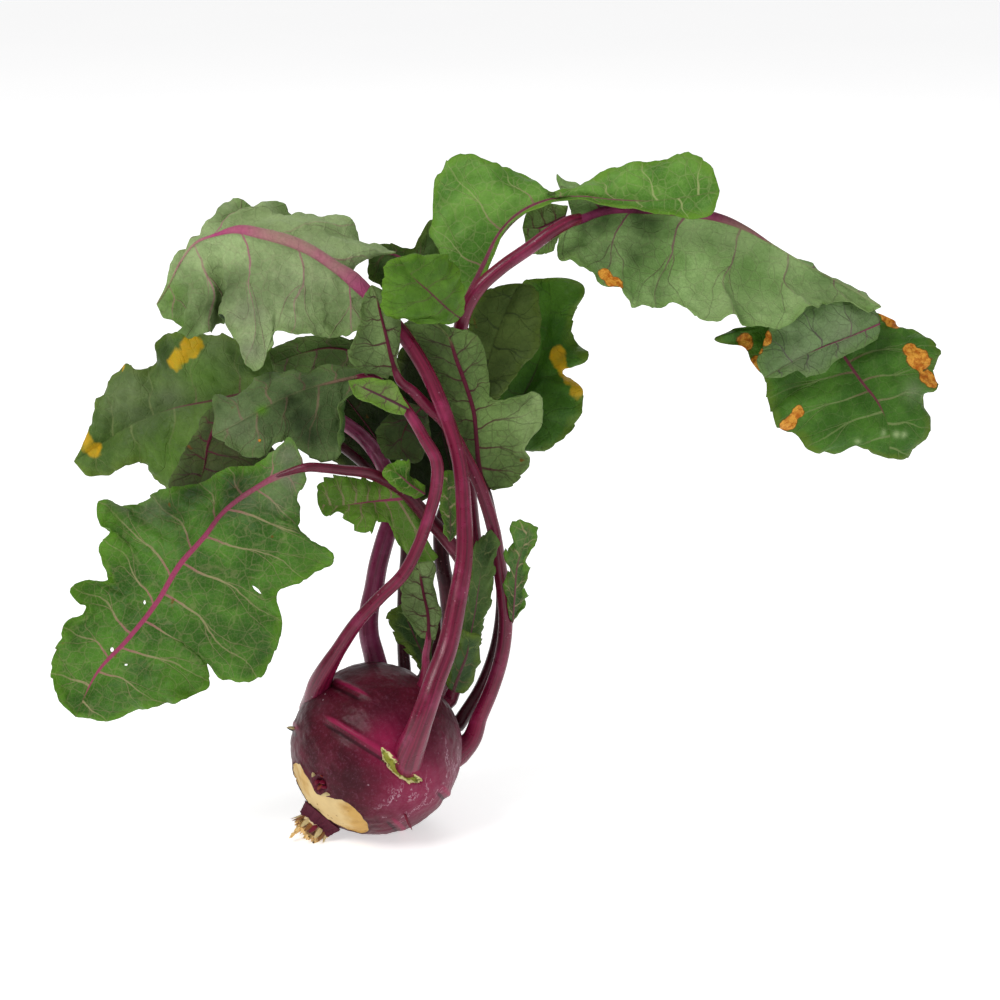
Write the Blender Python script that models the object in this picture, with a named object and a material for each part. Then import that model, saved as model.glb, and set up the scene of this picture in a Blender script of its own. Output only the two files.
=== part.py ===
# Purple kohlrabi with its crown of leaf stalks and leaves.
# Metres, +Z up. The tables below are in millimetres and are scaled by MM when the meshes are made.
# Origin: middle of the small flat the swollen stem rests on.
import math

import bpy
import numpy as np

for old in list(bpy.data.objects):
    bpy.data.objects.remove(old, do_unlink=True)

MM = 0.001

# swollen stem
BULB_RADIUS = 36.0
BULB_MIDDLE = np.array([0.0, 0.0, 35.2])
GROWTH = np.array([0.63, 0.31, 0.71])
GROWTH = GROWTH / np.linalg.norm(GROWTH)
FACING = np.array([0.0, -0.9613, 0.2756])
FACING = FACING - GROWTH * (FACING @ GROWTH)
FACING = FACING / np.linalg.norm(FACING)
ACROSS = np.cross(GROWTH, FACING)
BULB_AROUND = 40
BULB_DOWN = 24
REST = np.array([0.31, 0.10, -0.945])
REST_SWELL = 1.6

# leaf scars: degrees from the growing point, degrees round it, half length, slant, height in mm
SCARS = [(90, -6, 46, -8, 1.0), (70, -52, 28, -9, 0.9), (84, 110, 60, 2, 0.8),
         (70, 175, 60, 2, 0.8), (112, -110, 50, 2, 0.4), (122, 80, 40, 3, 0.3)]

# woody root end
ROOT_WIDE = 7.8
ROOT_NARROW = 5.8
ROOT_LENGTH = 10.0

BLADE = 0.8
TOOTH = 1.6
GAP = 0.8

# Each leaf: its rib from base to tip, and the outline on both sides as
# (where the row leaves the rib, x, y, z). "face" is 1 where the upper face looks at -Y.
LEAVES = {
    "leaf_left_top": {
        "face": -1, "rows": 14, "bulge": (-4, 3), "wave": (3.0, 4, 0.2), "rib_width": 5.6,
        "rib": [
            (0, 18, 223), (-14, 19, 236), (-29, 21, 245), (-45, 24, 249), (-55, 28, 250), (-65, 33, 247),
            (-73, 39, 243), (-81, 46, 233), (-87, 52, 222), (-93, 56, 213)],
        "left": [
            (0, 1, 10, 216), (0.1, -8, 8, 212), (0.26, -27, 8, 211), (0.36, -40, 6, 212),
            (0.45, -46, -2, 198), (0.53, -53, 6, 207), (0.56, -59, 16, 214), (0.64, -66, 32, 211),
            (0.72, -71, 30, 207), (0.82, -80, 34, 206), (0.92, -88, 46, 209)],
        "right": [
            (0, 2, 20, 226), (0.12, -9, 24, 233), (0.2, -2, 30, 236), (0.27, 10, 40, 240),
            (0.34, -4, 42, 244), (0.42, -12, 44, 249), (0.52, -30, 46, 254), (0.63, -48, 48, 258),
            (0.7, -57, 48, 254), (0.78, -65, 48, 247), (0.87, -75, 52, 239), (0.94, -84, 56, 228)],
    },
    "leaf_left_front": {
        "face": 1, "rows": 16, "bulge": (3, -3), "wave": (2.2, 5, 0.1), "rib_width": 3.4,
        "rib": [
            (-27, -17, 162), (-39, -19, 158), (-50, -21, 152), (-60, -23, 144), (-67, -25, 135),
            (-76, -27, 125), (-86, -29, 109), (-98, -31, 94), (-110, -32, 81), (-120, -34, 62)],
        "left": [
            (0, -26, -18, 157), (0.07, -30, -20, 149), (0.12, -27, -23, 142), (0.18, -29, -25, 136),
            (0.23, -21, -29, 133), (0.29, -15, -33, 129), (0.35, -25, -31, 120), (0.4, -36, -31, 115),
            (0.45, -36, -33, 102), (0.5, -38, -36, 91), (0.545, -44, -38, 80), (0.58, -53, -38, 78),
            (0.615, -59, -36, 80), (0.645, -64, -35, 85), (0.675, -65, -34, 89), (0.705, -66, -35, 86),
            (0.74, -66, -37, 80), (0.775, -67, -39, 76), (0.81, -73, -42, 73), (0.87, -88, -42, 70),
            (0.94, -104, -40, 63)],
        "right": [
            (0, -28, -18, 167), (0.045, -32, -18, 174), (0.09, -38, -16, 170), (0.14, -46, -12, 161),
            (0.2, -58, -8, 159), (0.3, -71, -6, 154), (0.38, -85, -6, 148), (0.45, -100, -8, 144),
            (0.5, -112, -12, 146), (0.54, -109, -15, 139), (0.58, -104, -18, 135),
            (0.61, -109, -20, 129), (0.64, -107, -21, 117), (0.68, -117, -24, 117),
            (0.71, -121, -27, 113), (0.75, -115, -26, 107), (0.79, -122, -28, 100),
            (0.85, -128, -31, 90), (0.92, -128, -33, 76), (0.97, -125, -34, 68)],
    },
    "leaf_left_folded": {
        "face": -1, "rows": 11, "bulge": (-3, 2), "wave": (2.5, 3, 0.4), "rib_width": 2.6,
        "rib": [
            (-2, 4, 195), (-15, 1, 193), (-29, -3, 190), (-43, -6, 184), (-54, -8, 178), (-64, -9, 173)],
        "left": [
            (0, -2, 1, 191), (0.1, -13, -6, 184), (0.18, -14, -8, 164), (0.27, -23, -8, 164),
            (0.36, -31, -8, 168), (0.45, -35, -7, 171), (0.53, -38, -8, 170), (0.64, -44, -12, 165),
            (0.78, -53, -12, 168), (0.9, -59, -11, 171)],
        "right": [
            (0, -2, 8, 197), (0.2, -17, 8, 198), (0.4, -31, 9, 196), (0.6, -47, 8, 192),
            (0.8, -59, 5, 186), (0.92, -64, 1, 184)],
    },
    "leaf_top": {
        "face": 1, "rows": 14, "bulge": (3, -2), "wave": (2.0, 5, 0.3), "rib_width": 3.2,
        "rib": [
            (34, 35, 210), (39, 36, 222), (45, 38, 234), (52, 40, 247), (60, 40, 255), (71, 41, 260),
            (83, 39, 262), (98, 37, 261), (112, 34, 261), (127, 31, 263), (141, 29, 266)],
        "left": [
            (0, 32, 36, 211), (0.06, 34, 40, 219), (0.11, 33, 42, 230), (0.15, 25, 43, 241),
            (0.2, 24, 45, 253), (0.25, 25, 47, 266), (0.31, 30, 46, 276), (0.37, 40, 46, 279),
            (0.43, 51, 45, 273), (0.49, 61, 44, 270), (0.55, 71, 41, 263), (0.6, 79, 41, 263),
            (0.66, 85, 42, 267), (0.73, 98, 42, 273), (0.79, 105, 40, 276), (0.85, 118, 38, 278),
            (0.91, 129, 35, 280), (0.96, 138, 32, 274)],
        "right": [
            (0, 36, 35, 210), (0.2, 47, 36, 233), (0.34, 56, 36, 251), (0.46, 71, 37, 259),
            (0.58, 86, 34, 261), (0.7, 103, 31, 258), (0.8, 118, 29, 256), (0.9, 132, 27, 255),
            (0.96, 139, 27, 258)],
    },
    "leaf_right_long": {
        "face": -1, "rows": 16, "bulge": (3, -5), "wave": (2.5, 5, 0.6), "rib_width": 4.6,
        "rib": [
            (83, 41, 252), (95, 41, 256), (113, 42, 256), (132, 43, 254), (142, 44, 252), (154, 45, 247),
            (167, 46, 239), (182, 48, 230), (197, 50, 222), (212, 52, 213)],
        "left": [
            (0, 80, 45, 256), (0.05, 75, 46, 270), (0.1, 86, 50, 263), (0.18, 95, 58, 252),
            (0.3, 114, 66, 247), (0.45, 141, 70, 240), (0.6, 162, 72, 228), (0.75, 185, 72, 219),
            (0.9, 206, 66, 212)],
        "right": [
            (0, 77, 44, 244), (0.05, 76, 40, 238), (0.1, 87, 34, 234), (0.16, 93, 26, 228),
            (0.21, 102, 26, 228), (0.25, 105, 26, 218), (0.29, 110, 28, 220), (0.33, 115, 27, 217),
            (0.38, 124, 26, 221), (0.43, 134, 22, 214), (0.5, 146, 20, 216), (0.57, 159, 20, 212),
            (0.63, 171, 22, 214), (0.69, 181, 30, 218), (0.79, 194, 44, 217), (0.9, 206, 50, 212)],
    },
    "leaf_right_end": {
        "face": 1, "rows": 12, "bulge": (3, 3), "wave": (2.0, 4, 0.2), "rib_width": 2.6,
        "rib": [
            (191, 67, 199), (197, 62, 191), (205, 59, 180), (213, 57, 170), (218, 56, 158),
            (218, 56, 146)],
        "left": [
            (0, 211, 72, 207), (0.13, 225, 74, 200), (0.27, 241, 72, 190), (0.4, 238, 68, 183),
            (0.5, 239, 66, 176), (0.6, 234, 63, 172), (0.72, 235, 62, 161), (0.83, 232, 60, 151),
            (0.93, 226, 58, 146)],
        "right": [
            (0, 157, 62, 204), (0.07, 144, 62, 198), (0.14, 155, 60, 193), (0.22, 163, 56, 181),
            (0.36, 167, 54, 171), (0.48, 170, 52, 161), (0.58, 178, 52, 157), (0.68, 182, 52, 151),
            (0.8, 194, 52, 149), (0.91, 205, 54, 152)],
    },
    "leaflet_right_stalk": {
        "face": -1, "rows": 7, "bulge": (2, 2), "wave": (1.0, 3, 0.0), "rib_width": 1.8, "small": True,
        "rib": [
            (79, 50, 252), (73, 50, 249), (68, 50, 247), (61, 50, 247)],
        "left": [
            (0, 77, 50, 245), (0.3, 73, 51, 237), (0.6, 66, 52, 235), (0.85, 63, 51, 240)],
        "right": [
            (0, 80, 51, 256), (0.3, 72, 52, 257), (0.6, 66, 52, 255), (0.85, 62, 51, 252)],
    },
    "leaf_right_back": {
        "face": 1, "rows": 11, "bulge": (-4, 4), "wave": (2.0, 3, 0.5), "rib_width": 3.2,
        "rib": [
            (49, 72, 150), (59, 78, 163), (67, 84, 177), (72, 88, 193), (74, 90, 206), (73, 90, 218)],
        "left": [
            (0, 45, 70, 156), (0.2, 47, 74, 171), (0.4, 52, 80, 187), (0.6, 55, 86, 201),
            (0.8, 60, 90, 213), (0.92, 66, 92, 217)],
        "right": [
            (0, 60, 70, 146), (0.1, 72, 72, 146), (0.2, 83, 74, 155), (0.3, 88, 76, 170),
            (0.38, 83, 80, 176), (0.45, 80, 82, 178), (0.54, 90, 80, 184), (0.62, 84, 84, 191),
            (0.72, 83, 86, 201), (0.81, 85, 88, 206), (0.88, 89, 88, 213), (0.95, 82, 90, 217)],
    },
    "leaf_right_grey": {
        "face": -1, "rows": 8, "bulge": (3, 3), "wave": (1.5, 3, 0.1), "rib_width": 2.6,
        "rib": [
            (40, 34, 174), (45, 42, 186), (49, 48, 198), (54, 54, 210), (60, 58, 222)],
        "left": [
            (0, 37, 35, 177), (0.25, 37, 42, 193), (0.5, 38, 48, 206), (0.75, 42, 54, 217),
            (0.9, 50, 57, 221)],
        "right": [
            (0, 49, 38, 175), (0.2, 55, 42, 180), (0.4, 61, 46, 189), (0.6, 67, 50, 196),
            (0.8, 68, 55, 212), (0.93, 66, 58, 221)],
    },
    "leaf_left_back": {
        "face": 1, "rows": 11, "bulge": (3, 4), "wave": (2.5, 4, 0.3), "rib_width": 3.6,
        "rib": [
            (-41, 70, 170), (-57, 76, 170), (-75, 82, 165), (-93, 87, 160), (-111, 90, 152),
            (-126, 92, 142), (-137, 92, 135)],
        "left": [
            (0, -44, 66, 156), (0.2, -62, 70, 137), (0.38, -79, 74, 128), (0.5, -93, 78, 125),
            (0.6, -102, 82, 132), (0.7, -106, 86, 136), (0.8, -116, 86, 134), (0.9, -125, 88, 130),
            (0.96, -132, 90, 130)],
        "right": [
            (0, -42, 72, 189), (0.2, -62, 80, 194), (0.38, -80, 86, 194), (0.5, -96, 90, 192),
            (0.58, -101, 92, 178), (0.66, -107, 92, 176), (0.73, -113, 94, 179), (0.8, -120, 94, 171),
            (0.88, -126, 94, 161), (0.95, -130, 93, 146)],
    },
    "leaf_left_narrow": {
        "face": -1, "rows": 8, "bulge": (3, 3), "wave": (1.5, 3, 0.0), "rib_width": 2.6,
        "rib": [
            (-57, 36, 176), (-65, 36, 169), (-70, 35, 159), (-72, 33, 149), (-76, 30, 138)],
        "left": [
            (0, -52, 34, 173), (0.22, -47, 30, 161), (0.45, -39, 28, 152), (0.7, -57, 27, 145),
            (0.9, -70, 28, 139)],
        "right": [
            (0, -61, 38, 177), (0.2, -68, 40, 174), (0.4, -75, 40, 165), (0.6, -80, 38, 156),
            (0.8, -85, 35, 147), (0.93, -87, 32, 139)],
    },
    "leaf_middle": {
        "face": -1, "rows": 13, "bulge": (-2, -3), "wave": (1.8, 4, 0.2), "rib_width": 3.0,
        "rib": [
            (45, 18, 144), (43, 18, 154), (42, 18, 165), (41, 17, 176), (38, 16, 187), (34, 14, 199),
            (30, 13, 210), (25, 14, 215)],
        "left": [
            (0, 43, 19, 145), (0.15, 38, 21, 152), (0.3, 32, 21, 165), (0.45, 27, 20, 179),
            (0.6, 22, 21, 192), (0.75, 16, 24, 203), (0.88, 12, 24, 211), (0.95, 17, 19, 215)],
        "right": [
            (0, 49, 17, 143), (0.06, 56, 16, 145), (0.12, 61, 15, 151), (0.18, 64, 14, 158),
            (0.24, 63, 14, 163), (0.3, 69, 14, 173), (0.36, 68, 16, 183), (0.42, 58, 17, 183),
            (0.48, 49, 19, 181), (0.56, 48, 19, 190), (0.66, 46, 18, 200), (0.77, 42, 17, 208),
            (0.89, 33, 16, 212)],
    },
    "leaf_middle_small": {
        "face": -1, "rows": 9, "bulge": (-3, 2), "wave": (1.2, 3, 0.0), "rib_width": 2.6,
        "rib": [
            (10, 6, 194), (8, 4, 201), (6, 4, 210), (4, 6, 218), (2, 8, 226), (0, 10, 231)],
        "left": [
            (0, 1, 0, 197), (0.12, -6, -2, 200), (0.25, -9, -3, 206), (0.4, -7, -2, 211),
            (0.55, -4, 1, 216), (0.7, -4, 4, 221), (0.86, -3, 7, 227)],
        "right": [
            (0, 11, 8, 195), (0.2, 10, 9, 202), (0.4, 11, 10, 209), (0.6, 12, 10, 216),
            (0.8, 10, 10, 223), (0.92, 5, 11, 228)],
    },
    "leaflet_top_middle": {
        "face": 1, "rows": 10, "bulge": (3, 3), "wave": (1.6, 5, 0.3), "rib_width": 2.6,
        "rib": [
            (35, 21, 215), (30, 12, 221), (23, 6, 229), (17, 4, 235), (11, 6, 243)],
        "left": [
            (0, 33, 19, 214), (0.15, 23, 6, 216), (0.3, 12, 2, 219), (0.45, 6, -1, 222),
            (0.6, 5, 0, 229), (0.75, 5, 2, 235), (0.9, 6, 4, 241)],
        "right": [
            (0, 37, 22, 218), (0.2, 37, 15, 224), (0.4, 36, 15, 232), (0.55, 34, 14, 237),
            (0.7, 30, 12, 242), (0.85, 20, 8, 244)],
    },
    "leaflet_top_back": {
        "face": -1, "rows": 7, "bulge": (3, -3), "wave": (1.2, 3, 0.0), "rib_width": 2.6,
        "rib": [
            (32, 43, 211), (23, 46, 223), (15, 50, 230), (7, 52, 235), (-3, 50, 235)],
        "left": [
            (0, 28, 42, 210), (0.3, 13, 42, 220), (0.6, 3, 46, 222), (0.85, -3, 48, 227)],
        "right": [
            (0, 34, 45, 215), (0.2, 27, 50, 233), (0.35, 23, 56, 248), (0.5, 18, 56, 242),
            (0.62, 15, 56, 237), (0.78, 5, 54, 240), (0.9, -1, 52, 238)],
    },
    "leaflet_pale": {
        "face": 1, "rows": 7, "bulge": (-1.5, -1.5), "wave": (0.8, 3, 0.0), "rib_width": 1.8, "small": True,
        "rib": [
            (14, -4, 183), (8, -7, 187), (1, -9, 191), (-9, -10, 196)],
        "left": [
            (0, 13, -6, 181), (0.25, 7, -9, 183), (0.5, 0, -11, 187), (0.75, -6, -12, 190)],
        "right": [
            (0, 15, -3, 183), (0.25, 12, -4, 189), (0.5, 9, -6, 195), (0.75, 0, -9, 197)],
    },
    "leaflet_toothed": {
        "face": 1, "rows": 11, "bulge": (2, 2), "wave": (1.8, 6, 0.0), "rib_width": 2.6,
        "rib": [
            (12, 11, 141), (4, 12, 140), (-5, 8, 140), (-14, 4, 140), (-23, 3, 141)],
        "left": [
            (0, 20, 19, 127), (0.06, 24, 17, 114), (0.13, 15, 15, 113), (0.2, 9, 12, 123),
            (0.27, 7, 10, 129), (0.36, 1, 6, 133), (0.42, -1, 2, 130), (0.5, -7, 1, 131),
            (0.6, -11, 1, 135), (0.72, -15, 1, 138), (0.86, -20, 1, 136)],
        "right": [
            (0, 10, 17, 146), (0.3, 1, 14, 147), (0.6, -11, 9, 151), (0.8, -20, 7, 151),
            (0.92, -23, 5, 146)],
    },
    "leaflet_yellow": {
        "face": 1, "rows": 6, "bulge": (1.5, -1.5), "wave": (0.8, 3, 0.0), "rib_width": 1.8, "small": True,
        "rib": [
            (21, 0, 146), (15, -3, 151), (10, -5, 156), (5, -6, 159)],
        "left": [
            (0, 17, -2, 145), (0.3, 12, -5, 148), (0.6, 7, -7, 153), (0.85, 4, -7, 157)],
        "right": [
            (0, 21, 2, 149), (0.3, 15, 1, 154), (0.5, 14, -1, 160), (0.75, 8, -3, 160)],
    },
    "leaflet_low_folded": {
        "face": -1, "rows": 8, "bulge": (-2, 2), "wave": (1.2, 3, 0.0), "rib_width": 1.8, "small": True,
        "rib": [
            (22, -4, 85), (22, -3, 94), (20, 0, 104), (18, 3, 116)],
        "left": [
            (0, 19, -5, 86), (0.2, 14, -6, 94), (0.4, 11, -4, 102), (0.6, 11, 0, 108), (0.8, 14, 3, 113)],
        "right": [
            (0, 24, -2, 84), (0.25, 27, 0, 91), (0.5, 26, 2, 99), (0.7, 25, 4, 106), (0.87, 24, 5, 115)],
    },
    "leaflet_low_frill": {
        "face": 1, "rows": 7, "bulge": (2, 2), "wave": (2.0, 4, 0.0), "rib_width": 1.8, "small": True,
        "rib": [
            (22, 5, 68), (17, 8, 79), (13, 10, 88), (9, 12, 94)],
        "left": [
            (0, 19, 3, 68), (0.2, 13, 4, 77), (0.4, 9, 6, 82), (0.6, 6, 9, 87), (0.85, 6, 11, 92)],
        "right": [
            (0, 25, 9, 69), (0.3, 21, 13, 81), (0.6, 16, 14, 90), (0.85, 12, 14, 94)],
    },
    "leaflet_ribbon": {
        "face": 1, "rows": 8, "bulge": (2, 2), "wave": (2.2, 4, 0.3), "rib_width": 1.8, "small": True,
        "rib": [
            (38, 2, 77), (41, 4, 91), (43, 3, 105), (45, 3, 118), (48, 4, 130)],
        "left": [
            (0, 35, 2, 80), (0.2, 36, 6, 92), (0.4, 38, 5, 104), (0.6, 40, 5, 116), (0.8, 43, 5, 125)],
        "right": [
            (0, 44, 4, 80), (0.2, 45, 3, 91), (0.4, 48, 2, 103), (0.6, 49, 2, 115), (0.85, 51, 3, 126)],
    },
    "leaflet_curl": {
        "face": 1, "rows": 7, "bulge": (1.5, -1.5), "wave": (2.0, 4, 0.0), "rib_width": 1.8, "small": True,
        "rib": [
            (57, 11, 87), (58, 4, 102), (59, 1, 115), (62, 1, 126), (64, 3, 133)],
        "left": [
            (0, 55, 9, 93), (0.25, 55, 6, 105), (0.5, 55, 5, 116), (0.75, 57, 6, 127), (0.9, 60, 5, 133)],
        "right": [
            (0, 59, 8, 92), (0.25, 63, 1, 103), (0.5, 63, -2, 116), (0.75, 65, -1, 125),
            (0.9, 67, 2, 131)],
    },
    "leaflet_heart": {
        "face": 1, "rows": 6, "bulge": (1.5, 1.5), "wave": (1.2, 3, 0.0), "rib_width": 1.8, "small": True,
        "rib": [
            (32, 2, 60), (35, -2, 70), (38, -4, 79), (39, -4, 88)],
        "left": [
            (0, 29, 0, 64), (0.3, 31, -3, 75), (0.6, 34, -4, 84), (0.85, 36, -4, 89)],
        "right": [
            (0, 36, 4, 59), (0.3, 41, 2, 65), (0.6, 43, 0, 77), (0.85, 43, -2, 86)],
    },
    "leaflet_inner_grey": {
        "face": -1, "rows": 7, "bulge": (2, 2), "wave": (1.2, 3, 0.0), "rib_width": 1.8, "small": True,
        "rib": [
            (20, 17, 179), (14, 21, 172), (11, 20, 165), (11, 21, 155)],
        "left": [
            (0, 22, 24, 175), (0.25, 23, 25, 168), (0.5, 22, 25, 159), (0.75, 17, 24, 153)],
        "right": [
            (0, 15, 20, 179), (0.25, 5, 18, 174), (0.5, 1, 17, 167), (0.75, 4, 18, 157)],
    },
    "leaf_inner_back": {
        "face": -1, "rows": 8, "bulge": (3, 3), "wave": (2.0, 3, 0.2), "rib_width": 2.6,
        "rib": [
            (5, 60, 139), (0, 67, 149), (-11, 75, 163), (-24, 79, 178), (-32, 79, 188)],
        "left": [
            (0, 1, 60, 136), (0.25, -18, 66, 140), (0.5, -24, 76, 151), (0.8, -35, 80, 166)],
        "right": [
            (0, 9, 61, 143), (0.25, 12, 68, 164), (0.5, 3, 73, 183), (0.8, -15, 76, 193)],
    },
    "leaflet_under_top": {
        "face": -1, "rows": 8, "bulge": (2, -2), "wave": (1.2, 3, 0.0), "rib_width": 1.8, "small": True,
        "rib": [
            (7, 14, 194), (-6, 17, 201), (-18, 18, 203), (-30, 20, 200), (-42, 22, 195)],
        "left": [
            (0, 6, 14, 191), (0.3, -9, 16, 193), (0.55, -22, 18, 188), (0.75, -32, 20, 185),
            (0.9, -40, 22, 187)],
        "right": [
            (0, 8, 15, 197), (0.3, -9, 18, 206), (0.55, -23, 20, 208), (0.75, -35, 23, 205),
            (0.9, -43, 24, 200)],
    },
    "leaflet_between": {
        "face": 1, "rows": 6, "bulge": (1, -1), "wave": (1.0, 2, 0.0), "rib_width": 1.8, "small": True,
        "rib": [
            (31, 9, 123), (31, 7, 134), (30, 9, 144), (30, 12, 153)],
        "left": [
            (0, 29, 5, 128), (0.35, 27, 6, 137), (0.7, 27, 8, 146), (0.9, 27, 11, 152)],
        "right": [
            (0, 34, 8, 127), (0.35, 35, 9, 136), (0.7, 35, 11, 146), (0.9, 33, 13, 152)],
    },
    "leaf_right_fold": {
        "face": -1, "rows": 9, "bulge": (2, 3), "wave": (1.4, 3, 0.2), "rib_width": 1.8, "small": True,
        "rib": [
            (212, 57, 205), (199, 54, 200), (187, 51, 196), (174, 48, 190), (163, 46, 184)],
        "left": [
            (0, 212, 58, 198), (0.2, 202, 54, 194), (0.38, 194, 51, 190), (0.52, 187, 48, 185),
            (0.62, 181, 47, 184), (0.74, 177, 47, 187), (0.88, 170, 46, 184)],
        "right": [
            (0, 209, 56, 212), (0.2, 197, 53, 216), (0.4, 182, 49, 217), (0.6, 169, 47, 210),
            (0.8, 162, 46, 199), (0.93, 160, 46, 190)],
    },
    "leaf_inner_dark": {
        "face": -1, "rows": 8, "bulge": (3, 3), "wave": (2.0, 3, 0.2), "rib_width": 2.6,
        "rib": [
            (33, 43, 137), (29, 49, 151), (25, 52, 168), (20, 53, 185), (14, 52, 199)],
        "left": [
            (0, 29, 44, 135), (0.15, 15, 45, 131), (0.3, 10, 49, 143), (0.5, 10, 53, 160),
            (0.75, 8, 54, 179), (0.92, 9, 52, 194)],
        "right": [
            (0, 35, 44, 141), (0.25, 37, 51, 156), (0.5, 35, 53, 173), (0.75, 29, 52, 193),
            (0.92, 20, 51, 202)],
    },
}

# Each stalk: its middle line from the stem to the blade and its radius along the way.
STALKS = {
    "stalk_left_top": {
        "rings": 17,
        "path": [
            (15, -31, 48), (17, -36, 54), (19, -39, 62), (22, -38, 69), (25, -33, 78), (30, -26, 88),
            (34, -19, 105), (37, -12, 122), (37, -6, 141), (35, -1, 161), (29, 6, 179), (22, 12, 194),
            (15, 16, 205), (8, 18, 214), (1, 18, 221)],
        "r": [
            6.4, 5.6, 4.9, 4.6, 4.4, 4.3, 4, 3.6, 3.2, 3.1, 3.1, 3.1, 3.1, 3, 2.9],
    },
    "stalk_left_folded": {
        "path": [
            (-22, -3, 65), (-20, -8, 73), (-15, -10, 82), (-6, -12, 96), (3, -12, 106), (12, -11, 115),
            (18, -10, 126), (23, -9, 140), (26, -8, 152), (26, -7, 162), (21, -5, 171), (16, -2, 179),
            (11, 2, 185), (5, 5, 190), (-1, 5, 194)],
        "r": [
            5.2, 4, 3.1, 2.8, 2.6, 2.6, 2.5, 2.5, 2.6, 2.6, 2.4, 2.2, 2.1, 2, 1.9],
    },
    "stalk_middle_small": {
        "path": [
            (33, 8, 30), (39, 9, 35), (43, 11, 45), (48, 12, 57), (52, 13, 70), (54, 13, 85),
            (53, 12, 101), (51, 11, 115), (49, 10, 128), (46, 10, 139), (42, 10, 150), (38, 11, 158),
            (33, 13, 167), (28, 13, 174), (22, 12, 180), (16, 10, 187), (11, 7, 192)],
        "r": [
            6.2, 4.2, 3.4, 3.2, 3.1, 3, 3, 2.9, 2.8, 2.7, 2.6, 2.5, 2.5, 2.4, 2.3, 2.1, 1.9],
    },
    "stalk_left_back": {
        "path": [
            (0, 22, 60), (-2, 25, 68), (-4, 27, 76), (-4, 29, 86), (-2, 30, 95), (0, 31, 106),
            (3, 32, 117), (6, 35, 127), (6, 40, 137), (2, 46, 146), (-6, 54, 155), (-19, 61, 163),
            (-31, 67, 168), (-39, 70, 170)],
        "r": [
            5, 4.5, 4.3, 4.2, 4.2, 4.1, 4, 3.8, 3.6, 3.4, 3.2, 3, 2.7, 2.4],
    },
    "stalk_right_back": {
        "path": [
            (24, 22, 59), (29, 28, 69), (30, 30, 83), (29, 31, 96), (27, 33, 108), (27, 42, 122),
            (32, 53, 132), (40, 64, 142), (48, 71, 149)],
        "r": [
            3.8, 3.6, 3.5, 3.4, 3.3, 3.2, 3, 2.7, 2.3],
    },
    "stalk_left_front": {
        "path": [
            (25, 10, 57), (33, 10, 73), (38, 12, 88), (40, 14, 100), (36, 14, 113), (30, 14, 122),
            (24, 12, 130), (18, 9, 138), (12, 5, 146), (5, 0, 152), (-3, -6, 157), (-11, -10, 159),
            (-19, -14, 161), (-26, -17, 162)],
        "r": [
            3.8, 3.4, 3.2, 3.1, 3.1, 3.1, 3, 2.9, 2.7, 2.5, 2.3, 2.1, 2, 1.9],
    },
    "stalk_right_long": {
        "trim": 2.0,
        "path": [
            (30, 22, 49), (36, 24, 68), (41, 25, 87), (42, 25, 106), (40, 26, 127), (38, 29, 148),
            (37, 30, 170), (35, 28, 192), (35, 27, 207), (38, 27, 218), (43, 27, 226), (52, 29, 234),
            (64, 32, 242), (74, 34, 249), (80, 36, 252)],
        "r": [
            3.8, 3.5, 3.3, 3.2, 3.1, 3, 3, 3, 3, 3, 2.9, 2.8, 2.8, 2.7, 2.6],
    },
    "stalk_top": {
        "path": [
            (19, 28, 57), (24, 38, 70), (31, 39, 88), (35, 38, 108), (35, 38, 133), (33, 38, 155),
            (31, 37, 177), (30, 37, 194), (34, 36, 208)],
        "r": [
            2.4, 2.2, 2, 1.9, 1.9, 1.8, 1.8, 1.7, 1.6],
    },
    "stalk_middle": {
        "path": [
            (34, 18, 39), (43, 22, 53), (49, 22, 69), (52, 21, 87), (52, 20, 105), (50, 19, 121),
            (48, 18, 133), (46, 18, 142)],
        "r": [
            3.2, 2.8, 2.6, 2.4, 2.3, 2.2, 2.1, 2],
    },
    "stalk_left_narrow": {
        "path": [
            (11, 30, 57), (10, 36, 71), (10, 42, 91), (11, 46, 113), (7, 52, 129), (-4, 52, 142),
            (-20, 46, 157), (-39, 40, 169), (-55, 36, 176)],
        "r": [
            2.8, 2.5, 2.3, 2.2, 2.1, 2, 1.9, 1.7, 1.5],
    },
    "rib_right_end": {
        "rooted": False,
        "trim": 4.0,
        "path": [
            (86, 47, 246), (96, 50, 244), (113, 52, 242), (135, 54, 239), (155, 56, 231), (172, 60, 219),
            (183, 64, 207), (187, 66, 204)],
        "r": [
            2.2, 2.1, 2, 1.9, 1.8, 1.7, 1.6, 1.5],
    },
    "stalk_low_folded": {
        "rings": 6,
        "path": [
            (20, -5, 66), (21, -5, 73), (21, -4, 78), (22, -4, 84)],
        "r": [
            2.2, 1.8, 1.6, 1.4],
    },
}



def through(knots, points, at):
    """Smooth curve through points, read at the given knot values."""
    k = np.asarray(knots, float)
    p = np.asarray(points, float)
    h = np.diff(k)
    d = np.diff(p, axis=0) / h[:, None]
    m = np.empty_like(p)
    m[0] = d[0]
    m[-1] = d[-1]
    m[1:-1] = (d[:-1] * h[1:, None] + d[1:] * h[:-1, None]) / (h[1:] + h[:-1])[:, None]
    at = np.asarray(at, float)
    i = np.clip(np.searchsorted(k, at, side="right") - 1, 0, len(k) - 2)
    t = ((at - k[i]) / h[i])[:, None]
    g = h[i][:, None]
    return ((2 * t ** 3 - 3 * t ** 2 + 1) * p[i] + (t ** 3 - 2 * t ** 2 + t) * g * m[i]
            + (3 * t ** 2 - 2 * t ** 3) * p[i + 1] + (t ** 3 - t ** 2) * g * m[i + 1])


def chord_knots(points):
    """Knots that follow the distance along a list of points, from 0 to 1."""
    p = np.asarray(points, float)
    s = np.concatenate([[0.0], np.cumsum(np.linalg.norm(np.diff(p, axis=0), axis=1))])
    return s / s[-1], s[-1]


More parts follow.
